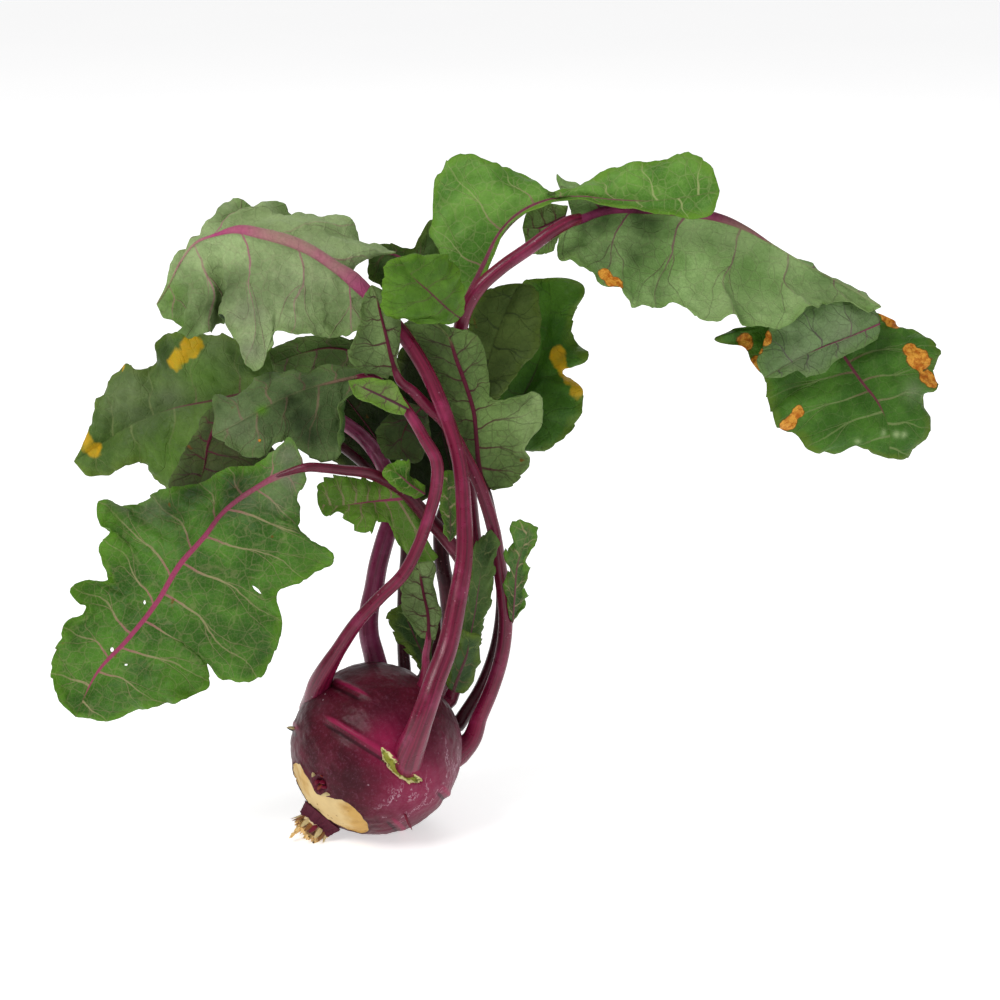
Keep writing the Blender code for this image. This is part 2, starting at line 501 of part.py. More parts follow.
def unit(v):
    return v / np.maximum(np.linalg.norm(v, axis=-1, keepdims=True), 1e-9)


def bulb_radius(d):
    """Distance from the bulb's middle to its skin, in mm, for unit directions d."""
    s = np.clip(d @ GROWTH, -1.0, 1.0)
    th = np.degrees(np.arccos(s))
    ph = np.degrees(np.arctan2(d @ ACROSS, d @ FACING))
    r = BULB_RADIUS + 0.45 * np.sin(np.radians(3 * ph + 40)) * np.sin(np.radians(th)) ** 2
    r = r - 1.8 * np.exp(-(th / 20.0) ** 2)
    r = r + 1.2 * np.exp(-((180.0 - th) / 17.0) ** 2)
    low = np.degrees(np.arccos(np.clip(d @ REST, -1.0, 1.0)))
    r = r + REST_SWELL * np.exp(-(low / 14.0) ** 2)
    for at_th, at_ph, reach, tilt, height in SCARS:
        away = (ph - at_ph + 180.0) % 360.0 - 180.0
        line = at_th + tilt * away / 60.0
        fade = np.clip((reach - np.abs(away)) / 14.0, 0.0, 1.0)
        r = r + height * fade * np.exp(-((th - line) / 4.2) ** 2)
        r = r - 0.35 * height * fade * np.exp(-((th - line - 8.0) / 4.5) ** 2)
    return r


def bulb_skin(d, lift=0.0):
    return BULB_MIDDLE + d * (bulb_radius(d) + lift)[:, None]


def half_blade(leaf, side, u, v):
    """Points of one half of a blade. u runs along the rib, v from the rib to the edge."""
    rib = np.asarray(leaf["rib"], float)
    k, _ = chord_knots(rib)
    r = through(k, rib, u)
    tan = unit(through(k, rib, np.clip(u + 0.01, 0, 1)) - through(k, rib, np.clip(u - 0.01, 0, 1)))
    e = np.array([row for row in leaf[side]] + [(1.0,) + tuple(rib[-1])], float)
    edge = through(e[:, 0], e[:, 1:], u)
    a = edge - r
    size = np.linalg.norm(a, axis=1)
    sign = 1.0 if side == "right" else -1.0
    n = unit(np.cross(sign * a, tan))
    arch = leaf["bulge"][1 if side == "right" else 0] * np.minimum(1.0, size / 25.0)
    amp, count, phase = leaf["wave"]
    ph = phase + (0.31 if side == "right" else 0.0)
    ruffle = amp * np.sin(2 * math.pi * (count * u + ph)) * np.minimum(1.0, size / 22.0)
    hump = 4 * v * (1 - v)
    return (r[:, None] + a[:, None] * v[..., None]
            + n[:, None] * (arch[:, None] * hump + ruffle[:, None] * v ** 2)[..., None]
            - tan[:, None] * (0.05 * size[:, None] * hump)[..., None])


def blade_mesh(leaf, rng):
    """A closed thin solid: two like-triangulated faces, a rim and a rib on the under face."""
    n = leaf["rows"]
    u = np.linspace(0, 1, n)
    steps = [0.4, 0.7, 1.0] if leaf.get("small") else [0.3, 0.56, 0.8, 1.0]
    rib_half = 0.55 * leaf["rib_width"] * (1 - 0.75 * u)
    cols = {}
    mid = {}
    for side in ("left", "right"):
        probe = half_blade(leaf, side, u, np.tile([0.0, 1.0], (n, 1)))
        size = np.linalg.norm(probe[:, 1] - probe[:, 0], axis=1)
        first = np.clip(rib_half / np.maximum(size, 1e-6), 0.02, 0.2)
        v = np.column_stack([first] + [np.full(n, s) for s in steps])
        cols[side] = half_blade(leaf, side, u, v)
        um = (u[:-1] + u[1:]) / 2
        mid[side] = half_blade(leaf, side, um, np.ones((n - 1, 1)))[:, 0]
        inner = half_blade(leaf, side, um, np.full((n - 1, 1), 0.8))[:, 0]
        out = unit(mid[side] - inner)
        tooth = TOOTH * (0.5 if leaf.get("small") else 1.0)
        mid[side] = mid[side] + out * (tooth * rng.uniform(0.3, 1.0, n - 1))[:, None]
    rib = half_blade(leaf, "left", u, np.zeros((n, 1)))
    grid = np.concatenate([cols["left"][:, ::-1], rib, cols["right"]], axis=1)
    m = grid.shape[1]
    c = m // 2
    pts = [grid[i, j] for i in range(n - 1) for j in range(m)]
    main = np.arange((n - 1) * m).reshape(n - 1, m)
    tip = len(pts)
    pts.append(rib[-1, 0])
    el = list(range(len(pts), len(pts) + n - 1))
    pts.extend(mid["left"])
    er = list(range(len(pts), len(pts) + n - 1))
    pts.extend(mid["right"])
    pts = np.array(pts)
    tris = []
    for i in range(n - 2):
        a, b = main[i], main[i + 1]
        for j in range(1, m - 2):
            if (i + j) % 2:
                tris += [(a[j], a[j + 1], b[j + 1]), (a[j], b[j + 1], b[j])]
            else:
                tris += [(a[j], a[j + 1], b[j]), (a[j + 1], b[j + 1], b[j])]
        tris += [(a[0], a[1], el[i]), (a[1], b[1], el[i]), (b[1], b[0], el[i])]
        tris += [(a[m - 2], a[m - 1], er[i]), (a[m - 2], er[i], b[m - 2])]
        tris.append((er[i], b[m - 1], b[m - 2]))
    a = main[n - 2]
    tris += [(a[j], a[j + 1], tip) for j in range(1, m - 2)]
    tris += [(a[0], a[1], el[-1]), (a[1], tip, el[-1])]
    tris += [(a[m - 2], a[m - 1], er[-1]), (a[m - 2], er[-1], tip)]
    tris = np.array(tris)
    loop = list(main[0])
    for i in range(n - 1):
        loop.append(er[i])
        loop.append(main[i + 1][m - 1] if i < n - 2 else tip)
    for i in range(n - 2, -1, -1):
        loop.append(el[i])
        if i > 0:
            loop.append(main[i][0])
    fn = np.cross(pts[tris[:, 1]] - pts[tris[:, 0]], pts[tris[:, 2]] - pts[tris[:, 0]])
    vn = np.zeros_like(pts)
    for q in range(3):
        np.add.at(vn, tris[:, q], fn)
    vn = unit(vn)
    half = BLADE / 2
    front = np.full(len(pts), half)
    back = np.full(len(pts), half)
    ridge = back if leaf["face"] > 0 else front
    for i in range(n - 1):
        ridge[main[i, c]] += 0.62 * leaf["rib_width"] * (1 - 0.85 * u[i])
        ridge[main[i, c - 1]] += 0.1 * leaf["rib_width"] * (1 - 0.85 * u[i])
        ridge[main[i, c + 1]] += 0.1 * leaf["rib_width"] * (1 - 0.85 * u[i])
    both = np.concatenate([pts + vn * front[:, None], pts - vn * back[:, None]])
    k = len(pts)
    faces = [tuple(t) for t in tris] + [(t[0] + k, t[2] + k, t[1] + k) for t in tris]
    for p, q in zip(loop, loop[1:] + loop[:1]):
        faces += [(p, p + k, q + k), (p, q + k, q)]
    return both, faces


def tube_mesh(stalk, sides=8):
    """A tapering stalk; its first ring lies a hair above the bulb's skin."""
    path = np.asarray(stalk["path"], float)
    radii = np.asarray(stalk["r"], float)
    k, length = chord_knots(path)
    trim = 1.0 - stalk.get("trim", 1.2) / length
    count = stalk.get("rings", 13)
    near = stalk.get("rooted", True)
    at = np.linspace(0, 1, count)
    at = (at ** 1.45 if near else at) * trim
    c = through(k, path, at)
    r = np.interp(at, k, radii)
    tan = unit(through(k, path, np.clip(at + 0.01, 0, 1)) - through(k, path, np.clip(at - 0.01, 0, 1)))
    side = None
    if near:
        out = unit(c[0] - BULB_MIDDLE)
        side = unit(np.cross(out, tan[1]))
        tan[0] = unit(0.8 * out + 0.2 * tan[0])
        tan[1] = unit(0.3 * out + 0.7 * tan[1])
    else:
        side = unit(np.cross(tan[0], np.array([0.3, 0.2, 0.9])))
    ang = np.linspace(0, 2 * math.pi, sides, endpoint=False) + math.pi / sides
    rings = []
    for i in range(count):
        side = unit(side - tan[i] * (side @ tan[i]))
        other = np.cross(tan[i], side)
        wide = 1.0 + (0.3 * max(0.0, 1 - i / 3.0) if near else 0.0)
        flat = 1.0 - (0.3 * max(0.0, 1 - i / 3.0) if near else 0.0)
        ring = wide * np.cos(ang)[:, None] * side + flat * 0.92 * np.sin(ang)[:, None] * other
        rings.append(c[i] + r[i] * ring)
    rings = np.array(rings)
    ends = np.array([c[0], c[-1]])
    foot = c[0] + 0.5 * (rings[0] - c[0])
    if near:
        rings[0] = bulb_skin(unit(rings[0] - BULB_MIDDLE), GAP)
        foot = bulb_skin(unit(foot - BULB_MIDDLE), GAP)
        ends[0] = bulb_skin(unit(ends[:1] - BULB_MIDDLE), GAP)[0]
        rest = rings[1:].reshape(-1, 3) - BULB_MIDDLE
        d = unit(rest)
        dist = np.linalg.norm(rest, axis=1)
        least = bulb_radius(d) + GAP + 1.3
        dist = np.maximum(dist, least)
        rings[1:] = (BULB_MIDDLE + d * dist[:, None]).reshape(count - 1, sides, 3)
    pts = np.concatenate([foot, rings.reshape(-1, 3), ends])
    faces = []
    for i in range(count):
        for j in range(sides):
            a, b = i * sides + j, i * sides + (j + 1) % sides
            e, f = a + sides, b + sides
            faces += [(a, b, f), (a, f, e)] if (i + j) % 2 else [(a, b, e), (b, f, e)]
    lo, hi = len(pts) - 2, len(pts) - 1
    for j in range(sides):
        faces.append((lo, (j + 1) % sides, j))
        top = count * sides
        faces.append((hi, top + j, top + (j + 1) % sides))
    return pts, faces


def bulb_mesh(around, down):
    """The swollen stem, on rings about its own growing axis."""
    th = np.radians(np.linspace(0, 180, down + 1)[1:-1])
    pts = [GROWTH]
    for i, t in enumerate(th):
        ph = np.linspace(0, 2 * math.pi, around, endpoint=False) + (math.pi / around) * (i % 2)
        for p in ph:
            level = math.cos(p) * FACING + math.sin(p) * ACROSS
            pts.append(math.cos(t) * GROWTH + math.sin(t) * level)
    pts.append(-GROWTH)
    pts = bulb_skin(np.array(pts))
    pts[:, 2] = np.maximum(pts[:, 2], 0.0)
    faces = []
    rows = len(th)

    def at(i, j):
        return 1 + i * around + j % around

    for j in range(around):
        faces.append((0, at(0, j), at(0, j + 1)))
        faces.append((at(rows - 1, j), len(pts) - 1, at(rows - 1, j + 1)))
    for i in range(rows - 1):
        for j in range(around):
            a, b, c, d = at(i, j), at(i, j + 1), at(i + 1, j), at(i + 1, j + 1)
            if i % 2:
                faces += [(a, d, b), (a, c, d)]
            else:
                faces += [(a, c, b), (b, c, d)]
    return pts, faces


def root_mesh(sides=12, rings=6):
    """The woody end of the root, ragged where it was torn."""
    rng = np.random.default_rng(7)
    ang = np.linspace(0, 2 * math.pi, sides, endpoint=False)
    start = bulb_skin(-GROWTH[None], GAP)[0]
    furrow = 1.0 + 0.13 * np.cos(5 * ang + 0.6) + rng.uniform(-0.05, 0.05, sides)
    torn = rng.uniform(-2.0, 1.0, sides)
    level = np.outer(np.cos(ang), FACING) + np.outer(np.sin(ang), ACROSS)
    foot = start + level * ROOT_WIDE * 0.5
    pts = list(bulb_skin(unit(foot - BULB_MIDDLE), GAP))
    for i in range(rings):
        t = i / (rings - 1)
        r = (ROOT_WIDE + (ROOT_NARROW - ROOT_WIDE) * t ** 0.7) * (furrow if i else 1.0)
        c = start - GROWTH * (ROOT_LENGTH * t)
        ring = c + level * np.broadcast_to(r, sides)[:, None]
        if i == 0:
            ring = bulb_skin(unit(ring - BULB_MIDDLE), GAP)
        if i == rings - 1:
            ring = ring - np.outer(torn, GROWTH)
        pts.extend(ring)
    pts.append(start)
    pts.append(start - GROWTH * (ROOT_LENGTH - 1.5))
    pts = np.array(pts)
    pts[:, 2] = np.maximum(pts[:, 2], 0.0)
    faces = []
    for i in range(rings):
        for j in range(sides):
            a, b = i * sides + j, i * sides + (j + 1) % sides
            faces += [(a, a + sides, b), (b, a + sides, b + sides)]
    lo, hi = len(pts) - 2, len(pts) - 1
    for j in range(sides):
        faces.append((lo, j, (j + 1) % sides))
        top = rings * sides
        faces.append((hi, top + (j + 1) % sides, top + j))
    return pts, faces


def make_material(name, colour, rough):
    mat = bpy.data.materials.new(name)
    mat.use_nodes = True
    shader = mat.node_tree.nodes["Principled BSDF"]
    shader.inputs["Base Color"].default_value = (*colour, 1.0)
    shader.inputs["Roughness"].default_value = rough
    mat.diffuse_color = (*colour, 1.0)
    return mat


def make_object(name, pts, faces, colour, rough, smooth):
    mesh = bpy.data.meshes.new(name)
    places = [tuple(p * MM) for p in np.asarray(pts, float)]
    mesh.from_pydata(places, [], [tuple(int(k) for k in f) for f in faces])
    mesh.validate()
    mesh.update()
    obj = bpy.data.objects.new(name, mesh)
    bpy.context.scene.collection.objects.link(obj)
    mesh.materials.append(make_material(name, colour, rough))
    for poly in mesh.polygons:
        poly.use_smooth = smooth
    return obj


make_object("bulb", *bulb_mesh(BULB_AROUND, BULB_DOWN), (0.12, 0.022, 0.05), 0.45, True)
make_object("root_end", *root_mesh(), (0.38, 0.22, 0.11), 0.85, False)
for name, stalk in STALKS.items():
    make_object(name, *tube_mesh(stalk), (0.26, 0.035, 0.11), 0.35, True)
for number, (name, leaf) in enumerate(LEAVES.items()):
    rng = np.random.default_rng(40 + number)
    colour = (0.07, 0.17, 0.035) if leaf["face"] > 0 else (0.15, 0.22, 0.11)
    make_object(name, *blade_mesh(leaf, rng), colour, 0.6, True)
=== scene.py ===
# Looks for the purple kohlrabi: fine blades, stalks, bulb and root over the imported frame.
# Tables are in millimetres, meshes in metres.
import math

import bmesh
import bpy
import numpy as np
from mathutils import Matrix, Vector


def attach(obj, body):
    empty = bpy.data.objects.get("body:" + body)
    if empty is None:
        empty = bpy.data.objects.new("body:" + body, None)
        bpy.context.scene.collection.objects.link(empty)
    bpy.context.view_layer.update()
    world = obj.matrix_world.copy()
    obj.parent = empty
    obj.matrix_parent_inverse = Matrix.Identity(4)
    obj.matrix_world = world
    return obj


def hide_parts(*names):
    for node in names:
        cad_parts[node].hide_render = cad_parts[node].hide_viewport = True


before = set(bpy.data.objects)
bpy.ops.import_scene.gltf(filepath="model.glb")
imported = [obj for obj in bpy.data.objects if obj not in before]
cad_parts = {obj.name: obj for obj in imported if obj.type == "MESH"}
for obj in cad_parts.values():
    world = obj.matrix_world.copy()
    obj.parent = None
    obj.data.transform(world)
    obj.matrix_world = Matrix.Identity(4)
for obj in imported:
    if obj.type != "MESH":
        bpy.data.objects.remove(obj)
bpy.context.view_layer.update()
mm = 0.001
clearOfFloor = 0.05

bulbShape = {
    "radius": 36.0,
    "middle": np.array([0.0, 0.0, 35.2]),
    "growth": np.array([0.63, 0.31, 0.71]),        # towards the leaves
    "facing": np.array([0.0, -0.9613, 0.2756]),    # towards the viewer
    "rest": np.array([0.31, 0.10, -0.945]),        # towards the flat it rests on
    "restSwell": 1.6,
    "around": 300,
    "down": 200,
    # leaf scars: degrees from the growing point, degrees round, half length, slant, height
    "scars": [(90, -6, 46, -8, 1.0), (70, -52, 28, -9, 0.9), (84, 110, 60, 2, 0.8),
              (70, 175, 60, 2, 0.8), (112, -110, 50, 2, 0.4), (122, 80, 40, 3, 0.3)],
}

# Leaves. face: 1 where the upper face looks at the viewer. rib: from base to tip. left and right:
# the outline, as (where the row leaves the rib, x, y, z). midrib: breadth at its foot, and where it
# starts and stops fading. veins: side veins a side. ruffle, tooth: mm. pleats: height, number, start.
# holes: (along the rib, out to the edge, half length, half width, side).
# own: what differs from the look. marks: soft patches, as (x, y, z, radius, strength).
# marks: dark is painted shade, light painted light, grey a grey-green tint partly painted sheen, bright a
# brighter green
leaves = {
    "leaf_left_top": {
        "face": -1, "bulge": (-4, 3), "wave": (3, 4, 0.2), "look": "silver", "veins": 5, "ruffle": 1,
        "midrib": (5, 0.45, 0.62), "pleats": (2.6, 9, 0.5),
        "marks": {
            "dark": [(-59, 28, 224, 8, 0.8), (-66, 34, 215, 9, 0.9), (-55, 24, 233, 6, 0.5),
                (-76, 33, 211, 8, 0.7), (-70, 33, 223, 6, 0.4)],
            "light": [(-30, 30, 251, 17, 1.3), (-12, 25, 244, 13, 1.1), (-73, 39, 235, 9, 0.8),
                (-46, 35, 256, 11, 1.3), (-42, 20, 214, 8, 0.4)],
            "grey": [(-50, 14, 219, 9, 0.9), (-49, 4, 207, 7, 1), (-58, 15, 215, 6, 0.7),
                (-29, 18, 228, 19, 0.6)],
            "bright": [(-86, 51, 218, 8.5, 0.8), (-81, 40, 207, 9, 0.8), (-21, 13, 218, 10, 0.3)]},
        "rib": [(0, 18, 223), (-14, 19, 236), (-29, 21, 245), (-45, 24, 249), (-55, 28, 250),
            (-65, 33, 247), (-73, 39, 243), (-81, 46, 233), (-87, 52, 222), (-93, 56, 213)],
        "left": [(0, 1, 10, 216), (0.1, -8, 8, 212), (0.26, -27, 8, 211), (0.36, -40, 6, 212),
            (0.45, -46, -2, 198), (0.53, -53, 6, 207), (0.56, -59, 16, 214), (0.64, -66, 32, 211),
            (0.72, -71, 30, 207), (0.82, -80, 34, 206), (0.92, -88, 46, 209)],
        "right": [(0, 2, 20, 226), (0.12, -9, 24, 233), (0.2, -2, 30, 236), (0.27, 10, 40, 240),
            (0.34, -4, 42, 244), (0.42, -12, 44, 249), (0.52, -30, 46, 254), (0.63, -48, 48, 258),
            (0.7, -57, 48, 254), (0.78, -65, 48, 247), (0.87, -75, 52, 239), (0.94, -84, 56, 228)]},
    "leaf_left_front": {
        "face": 1, "bulge": (3, -3), "wave": (2.2, 5, 0.1), "look": "vivid", "veins": 10, "ruffle": 1.2,
        "midrib": (3, 0.75, 1),
        "holes": [(0.42, 0.74, 2.4, 0.6, -1), (0.62, 0.16, 0.9, 0.9, 1), (0.78, 0.1, 1, 0.9, 1),
            (0.8, 0.2, 0.7, 0.7, -1)],
        "marks": {
            "dark": [(-72, -8, 150, 10, 0.8), (-54, -16, 152, 9, 0.8), (-81, -11, 141, 9, 0.7),
                (-63, -19, 144, 8, 0.7), (-73, -19, 135, 7.5, 0.4)],
            "grey": [(-33, -16, 167, 7, 1), (-32, -20, 158, 7, 1), (-36, -23, 152, 7.5, 0.7),
                (-89, -8, 143, 6.5, 0.7), (-103, -9, 143, 4, 0.8), (-48, -23, 150, 6.5, 0.3)],
            "bright": [(-106, -14, 140, 5, 0.9), (-102, -19, 128, 6, 0.7), (-24, -31, 126, 6.5, 0.7),
                (-117, -27, 110, 6.5, 0.6), (-76, -43, 76, 10, 0.4)]},
        "rib": [(-27, -17, 162), (-39, -19, 158), (-50, -21, 152), (-60, -23, 144), (-67, -25, 135),
            (-76, -27, 125), (-86, -29, 109), (-98, -31, 94), (-110, -32, 81), (-120, -34, 62)],
        "left": [(0, -26, -18, 157), (0.07, -30, -20, 149), (0.12, -27, -23, 142), (0.18, -29, -25, 136),
            (0.23, -21, -29, 133), (0.29, -15, -33, 129), (0.35, -25, -31, 120), (0.4, -36, -31, 115),
            (0.45, -36, -33, 102), (0.5, -38, -36, 91), (0.545, -44, -38, 80), (0.58, -53, -38, 78),
            (0.615, -59, -36, 80), (0.645, -64, -35, 85), (0.675, -65, -34, 89), (0.705, -66, -35, 86),
            (0.74, -66, -37, 80), (0.775, -67, -39, 76), (0.81, -73, -42, 73), (0.87, -88, -42, 70),
            (0.94, -104, -40, 63)],
        "right": [(0, -28, -18, 167), (0.045, -32, -18, 174), (0.09, -38, -16, 170), (0.14, -46, -12, 161),
            (0.2, -58, -8, 159), (0.3, -71, -6, 154), (0.38, -85, -6, 148), (0.45, -100, -8, 144),
            (0.5, -112, -12, 146), (0.54, -109, -15, 139), (0.58, -104, -18, 135), (0.61, -109, -20, 129),
            (0.64, -107, -21, 117), (0.68, -117, -24, 117), (0.71, -121, -27, 113), (0.75, -115, -26, 107),
            (0.79, -122, -28, 100), (0.85, -128, -31, 90), (0.92, -128, -33, 76), (0.97, -125, -34, 68)]},
    "leaf_left_folded": {
        "face": -1, "bulge": (-3, 2), "wave": (2.5, 3, 0.4), "look": "grey", "veins": 5, "ruffle": 0.9,
        "midrib": (1.1, 0.1, 0.5),
        "own": {"underVein": (128, 112, 88), "underRib": (122, 98, 80), "veinWidth": 0.9, "net": 0.14,
            "under": (80, 102, 58), "underLight": (108, 132, 82)},
        "marks": {
            "dark": [(-27, -2, 192, 6, 1), (-32, -4, 186, 6, 1), (-29, -3, 179, 7, 1),
                (-25, -6, 172, 7, 0.7)],
            "bright": [(-44, -7, 183, 2.2, 1.6)],
            "brown": [(-45, -9, 171, 0.9, 0.9)],
            "grey": [(-53, -8, 175, 8, 0.4)]},
        "rib": [(-2, 4, 195), (-15, 1, 193), (-29, -3, 190), (-43, -6, 184), (-54, -8, 178),
            (-64, -9, 173)],
        "left": [(0, -2, 1, 191), (0.1, -13, -6, 184), (0.18, -14, -8, 164), (0.27, -23, -8, 164),
            (0.36, -31, -8, 168), (0.45, -35, -7, 171), (0.53, -38, -8, 170), (0.64, -44, -12, 165),
            (0.78, -53, -12, 168), (0.9, -59, -11, 171)],
        "right": [(0, -2, 8, 197), (0.2, -17, 8, 198), (0.4, -31, 9, 196), (0.6, -47, 8, 192),
            (0.8, -59, 5, 186), (0.92, -64, 1, 184)]},
    "leaf_top": {
        "face": 1, "bulge": (3, -2), "wave": (2, 5, 0.3), "look": "bright", "veins": 8, "ruffle": 1,
        "midrib": (2.4, 0.5, 0.9),
        "own": {"veinWidth": 0.8, "upper": (84, 136, 46), "upperLight": (126, 178, 76),
            "vein": (172, 186, 120)},
        "rib": [(34, 35, 210), (39, 36, 222), (45, 38, 234), (52, 40, 247), (60, 40, 255), (71, 41, 260),
            (83, 39, 262), (98, 37, 261), (112, 34, 261), (127, 31, 263), (141, 29, 266)],
        "left": [(0, 32, 36, 211), (0.06, 34, 40, 219), (0.11, 33, 42, 230), (0.15, 25, 43, 241),
            (0.2, 24, 45, 253), (0.25, 25, 47, 266), (0.31, 30, 46, 276), (0.37, 40, 46, 279),
            (0.43, 51, 45, 273), (0.49, 61, 44, 270), (0.55, 71, 41, 263), (0.6, 79, 41, 263),
            (0.66, 85, 42, 267), (0.73, 98, 42, 273), (0.79, 105, 40, 276), (0.85, 118, 38, 278),
            (0.91, 129, 35, 280), (0.96, 138, 32, 274)],
        "right": [(0, 36, 35, 210), (0.2, 47, 36, 233), (0.34, 56, 36, 251), (0.46, 71, 37, 259),
            (0.58, 86, 34, 261), (0.7, 103, 31, 258), (0.8, 118, 29, 256), (0.9, 132, 27, 255),
            (0.96, 139, 27, 258)]},
    "leaf_right_long": {
        "face": -1, "bulge": (3, -5), "wave": (2.5, 5, 0.6), "look": "long", "veins": 6, "ruffle": 1.1,
        "midrib": (3.4, 0.42, 0.62),
        "marks": {
            "dark": [(92, 41, 252, 10, 1), (111, 41, 252, 10, 1), (96, 34, 240, 9, 0.9),
                (108, 36, 240, 10, 0.9), (119, 34, 226, 7, 0.5), (154, 40, 236, 4.5, 0.4),
                (104, 36, 240, 14, 0.5)],
            "brown": [(95, 32, 231, 2.6, 1), (98, 29, 229, 2.8, 1), (102, 27, 229, 2.6, 1)],
            "light": [(142, 26, 221, 13, 0.9), (176, 33, 220, 10, 1), (152, 43, 244, 10, 0.8),
                (130, 42, 247, 8, 0.6), (200, 45, 218, 10, 1), (160, 30, 215, 10, 0.9),
                (172, 44, 236, 9, 0.9)],
            "grey": [(189, 47, 220, 8.5, 0.4)]},
        "rib": [(83, 41, 252), (95, 41, 256), (113, 42, 256), (132, 43, 254), (142, 44, 252),
            (154, 45, 247), (167, 46, 239), (182, 48, 230), (197, 50, 222), (212, 52, 213)],
        "left": [(0, 80, 45, 256), (0.05, 75, 46, 270), (0.1, 86, 50, 263), (0.18, 95, 58, 252),
            (0.3, 114, 66, 247), (0.45, 141, 70, 240), (0.6, 162, 72, 228), (0.75, 185, 72, 219),
            (0.9, 206, 66, 212)],
        "right": [(0, 77, 44, 244), (0.05, 76, 40, 238), (0.1, 87, 34, 234), (0.16, 93, 26, 228),
            (0.21, 102, 26, 228), (0.25, 105, 26, 218), (0.29, 110, 28, 220), (0.33, 115, 27, 217),
            (0.38, 124, 26, 221), (0.43, 134, 22, 214), (0.5, 146, 20, 216), (0.57, 159, 20, 212),
            (0.63, 171, 22, 214), (0.69, 181, 30, 218), (0.79, 194, 44, 217), (0.9, 206, 50, 212)]},
    "leaf_right_end": {
        "face": 1, "bulge": (3, 3), "wave": (2, 4, 0.2), "look": "deep", "veins": 6, "ruffle": 1,
        "midrib": (1.8, 0.5, 0.8),
        "own": {"upper": (60, 106, 28), "upperLight": (86, 136, 44), "vein": (128, 148, 88)},
        "marks": {
            "brown": [(174, 51, 163, 4.2, 1), (178, 51, 168, 3, 1), (217, 72, 206, 3.6, 1),
                (221, 74, 202, 4, 1), (231, 66, 187, 5.2, 1), (235, 64, 179, 4.5, 1),
                (228, 65, 192, 3.4, 1), (156, 60, 196, 3.6, 1), (161, 56, 188, 3, 1)],
            "dark": [(213, 65, 195, 8.5, 0.5), (176, 54, 179, 6, 0.5)],
            "light": [(215, 54, 158, 1.4, 2), (221, 55, 157, 1.4, 2), (224, 55, 157, 1.4, 2),
                (204, 51, 155, 1.2, 1.5)],
            "grey": [(228, 59, 175, 5, 0.7)]},
        "rib": [(191, 67, 199), (197, 62, 191), (205, 59, 180), (213, 57, 170), (218, 56, 158),
            (218, 56, 146)],
        "left": [(0, 211, 72, 207), (0.13, 225, 74, 200), (0.27, 241, 72, 190), (0.4, 238, 68, 183),
            (0.5, 239, 66, 176), (0.6, 234, 63, 172), (0.72, 235, 62, 161), (0.83, 232, 60, 151),
            (0.93, 226, 58, 146)],
        "right": [(0, 157, 62, 204), (0.07, 144, 62, 198), (0.14, 155, 60, 193), (0.22, 163, 56, 181),
            (0.36, 167, 54, 171), (0.48, 170, 52, 161), (0.58, 178, 52, 157), (0.68, 182, 52, 151),
            (0.8, 194, 52, 149), (0.91, 205, 54, 152)]},
    "leaflet_right_stalk": {
        "face": -1, "bulge": (2, 2), "wave": (1, 3, 0), "look": "bright", "veins": 4, "ruffle": 0.6,
        "midrib": (1.4, 0.5, 0.9), "small": True,
        "rib": [(79, 50, 252), (73, 50, 249), (68, 50, 247), (61, 50, 247)],
        "left": [(0, 77, 50, 245), (0.3, 73, 51, 237), (0.6, 66, 52, 235), (0.85, 63, 51, 240)],
        "right": [(0, 80, 51, 256), (0.3, 72, 52, 257), (0.6, 66, 52, 255), (0.85, 62, 51, 252)]},
    "leaf_right_back": {
        "face": 1, "bulge": (-4, 4), "wave": (2, 3, 0.5), "look": "deep", "veins": 5, "ruffle": 1,
        "midrib": (1.4, 0.3, 0.7),
        "own": {"vein": (66, 100, 34), "rib": (60, 70, 34), "underRib": (66, 70, 40),
            "underVein": (70, 92, 40)},
        "marks": {
            "dark": [(51, 70, 149, 17, 0.8), (61, 76, 163, 13, 0.6)],
            "yellow": [(76, 81, 186, 4.2, 0.9), (78, 80, 183, 4.4, 1), (80, 80, 179, 4.2, 0.9),
                (82, 78, 175, 4.4, 1), (84, 77, 171, 4.6, 1)],
            "bright": [(82, 87, 213, 10, 0.4)]},
        "rib": [(49, 72, 150), (59, 78, 163), (67, 84, 177), (72, 88, 193), (74, 90, 206), (73, 90, 218)],
        "left": [(0, 45, 70, 156), (0.2, 47, 74, 171), (0.4, 52, 80, 187), (0.6, 55, 86, 201),
            (0.8, 60, 90, 213), (0.92, 66, 92, 217)],
        "right": [(0, 60, 70, 146), (0.1, 72, 72, 146), (0.2, 83, 74, 155), (0.3, 88, 76, 170),
            (0.38, 83, 80, 176), (0.45, 80, 82, 178), (0.54, 90, 80, 184), (0.62, 84, 84, 191),
            (0.72, 83, 86, 201), (0.81, 85, 88, 206), (0.88, 89, 88, 213), (0.95, 82, 90, 217)]},
    "leaf_right_grey": {
        "face": -1, "bulge": (3, 3), "wave": (1.5, 3, 0.1), "look": "deep", "veins": 4, "ruffle": 0.6,
        "midrib": (1, 0.2, 0.6),
        "own": {"under": (76, 96, 42), "underLight": (100, 122, 58), "underRib": (64, 66, 36),
            "underVein": (64, 80, 38)},
        "marks": {
            "dark": [(59, 46, 192, 10, 0.4)]},
        "rib": [(40, 34, 174), (45, 42, 186), (49, 48, 198), (54, 54, 210), (60, 58, 222)],
        "left": [(0, 37, 35, 177), (0.25, 37, 42, 193), (0.5, 38, 48, 206), (0.75, 42, 54, 217),
            (0.9, 50, 57, 221)],
        "right": [(0, 49, 38, 175), (0.2, 55, 42, 180), (0.4, 61, 46, 189), (0.6, 67, 50, 196),
            (0.8, 68, 55, 212), (0.93, 66, 58, 221)]},
    "leaf_left_back": {
        "face": 1, "bulge": (3, 4), "wave": (2.5, 4, 0.3), "look": "deep", "veins": 5, "ruffle": 1.2,
        "midrib": (1.6, 0.3, 0.7),
        "own": {"under": (76, 106, 42), "underLight": (106, 138, 62), "upper": (76, 106, 42),
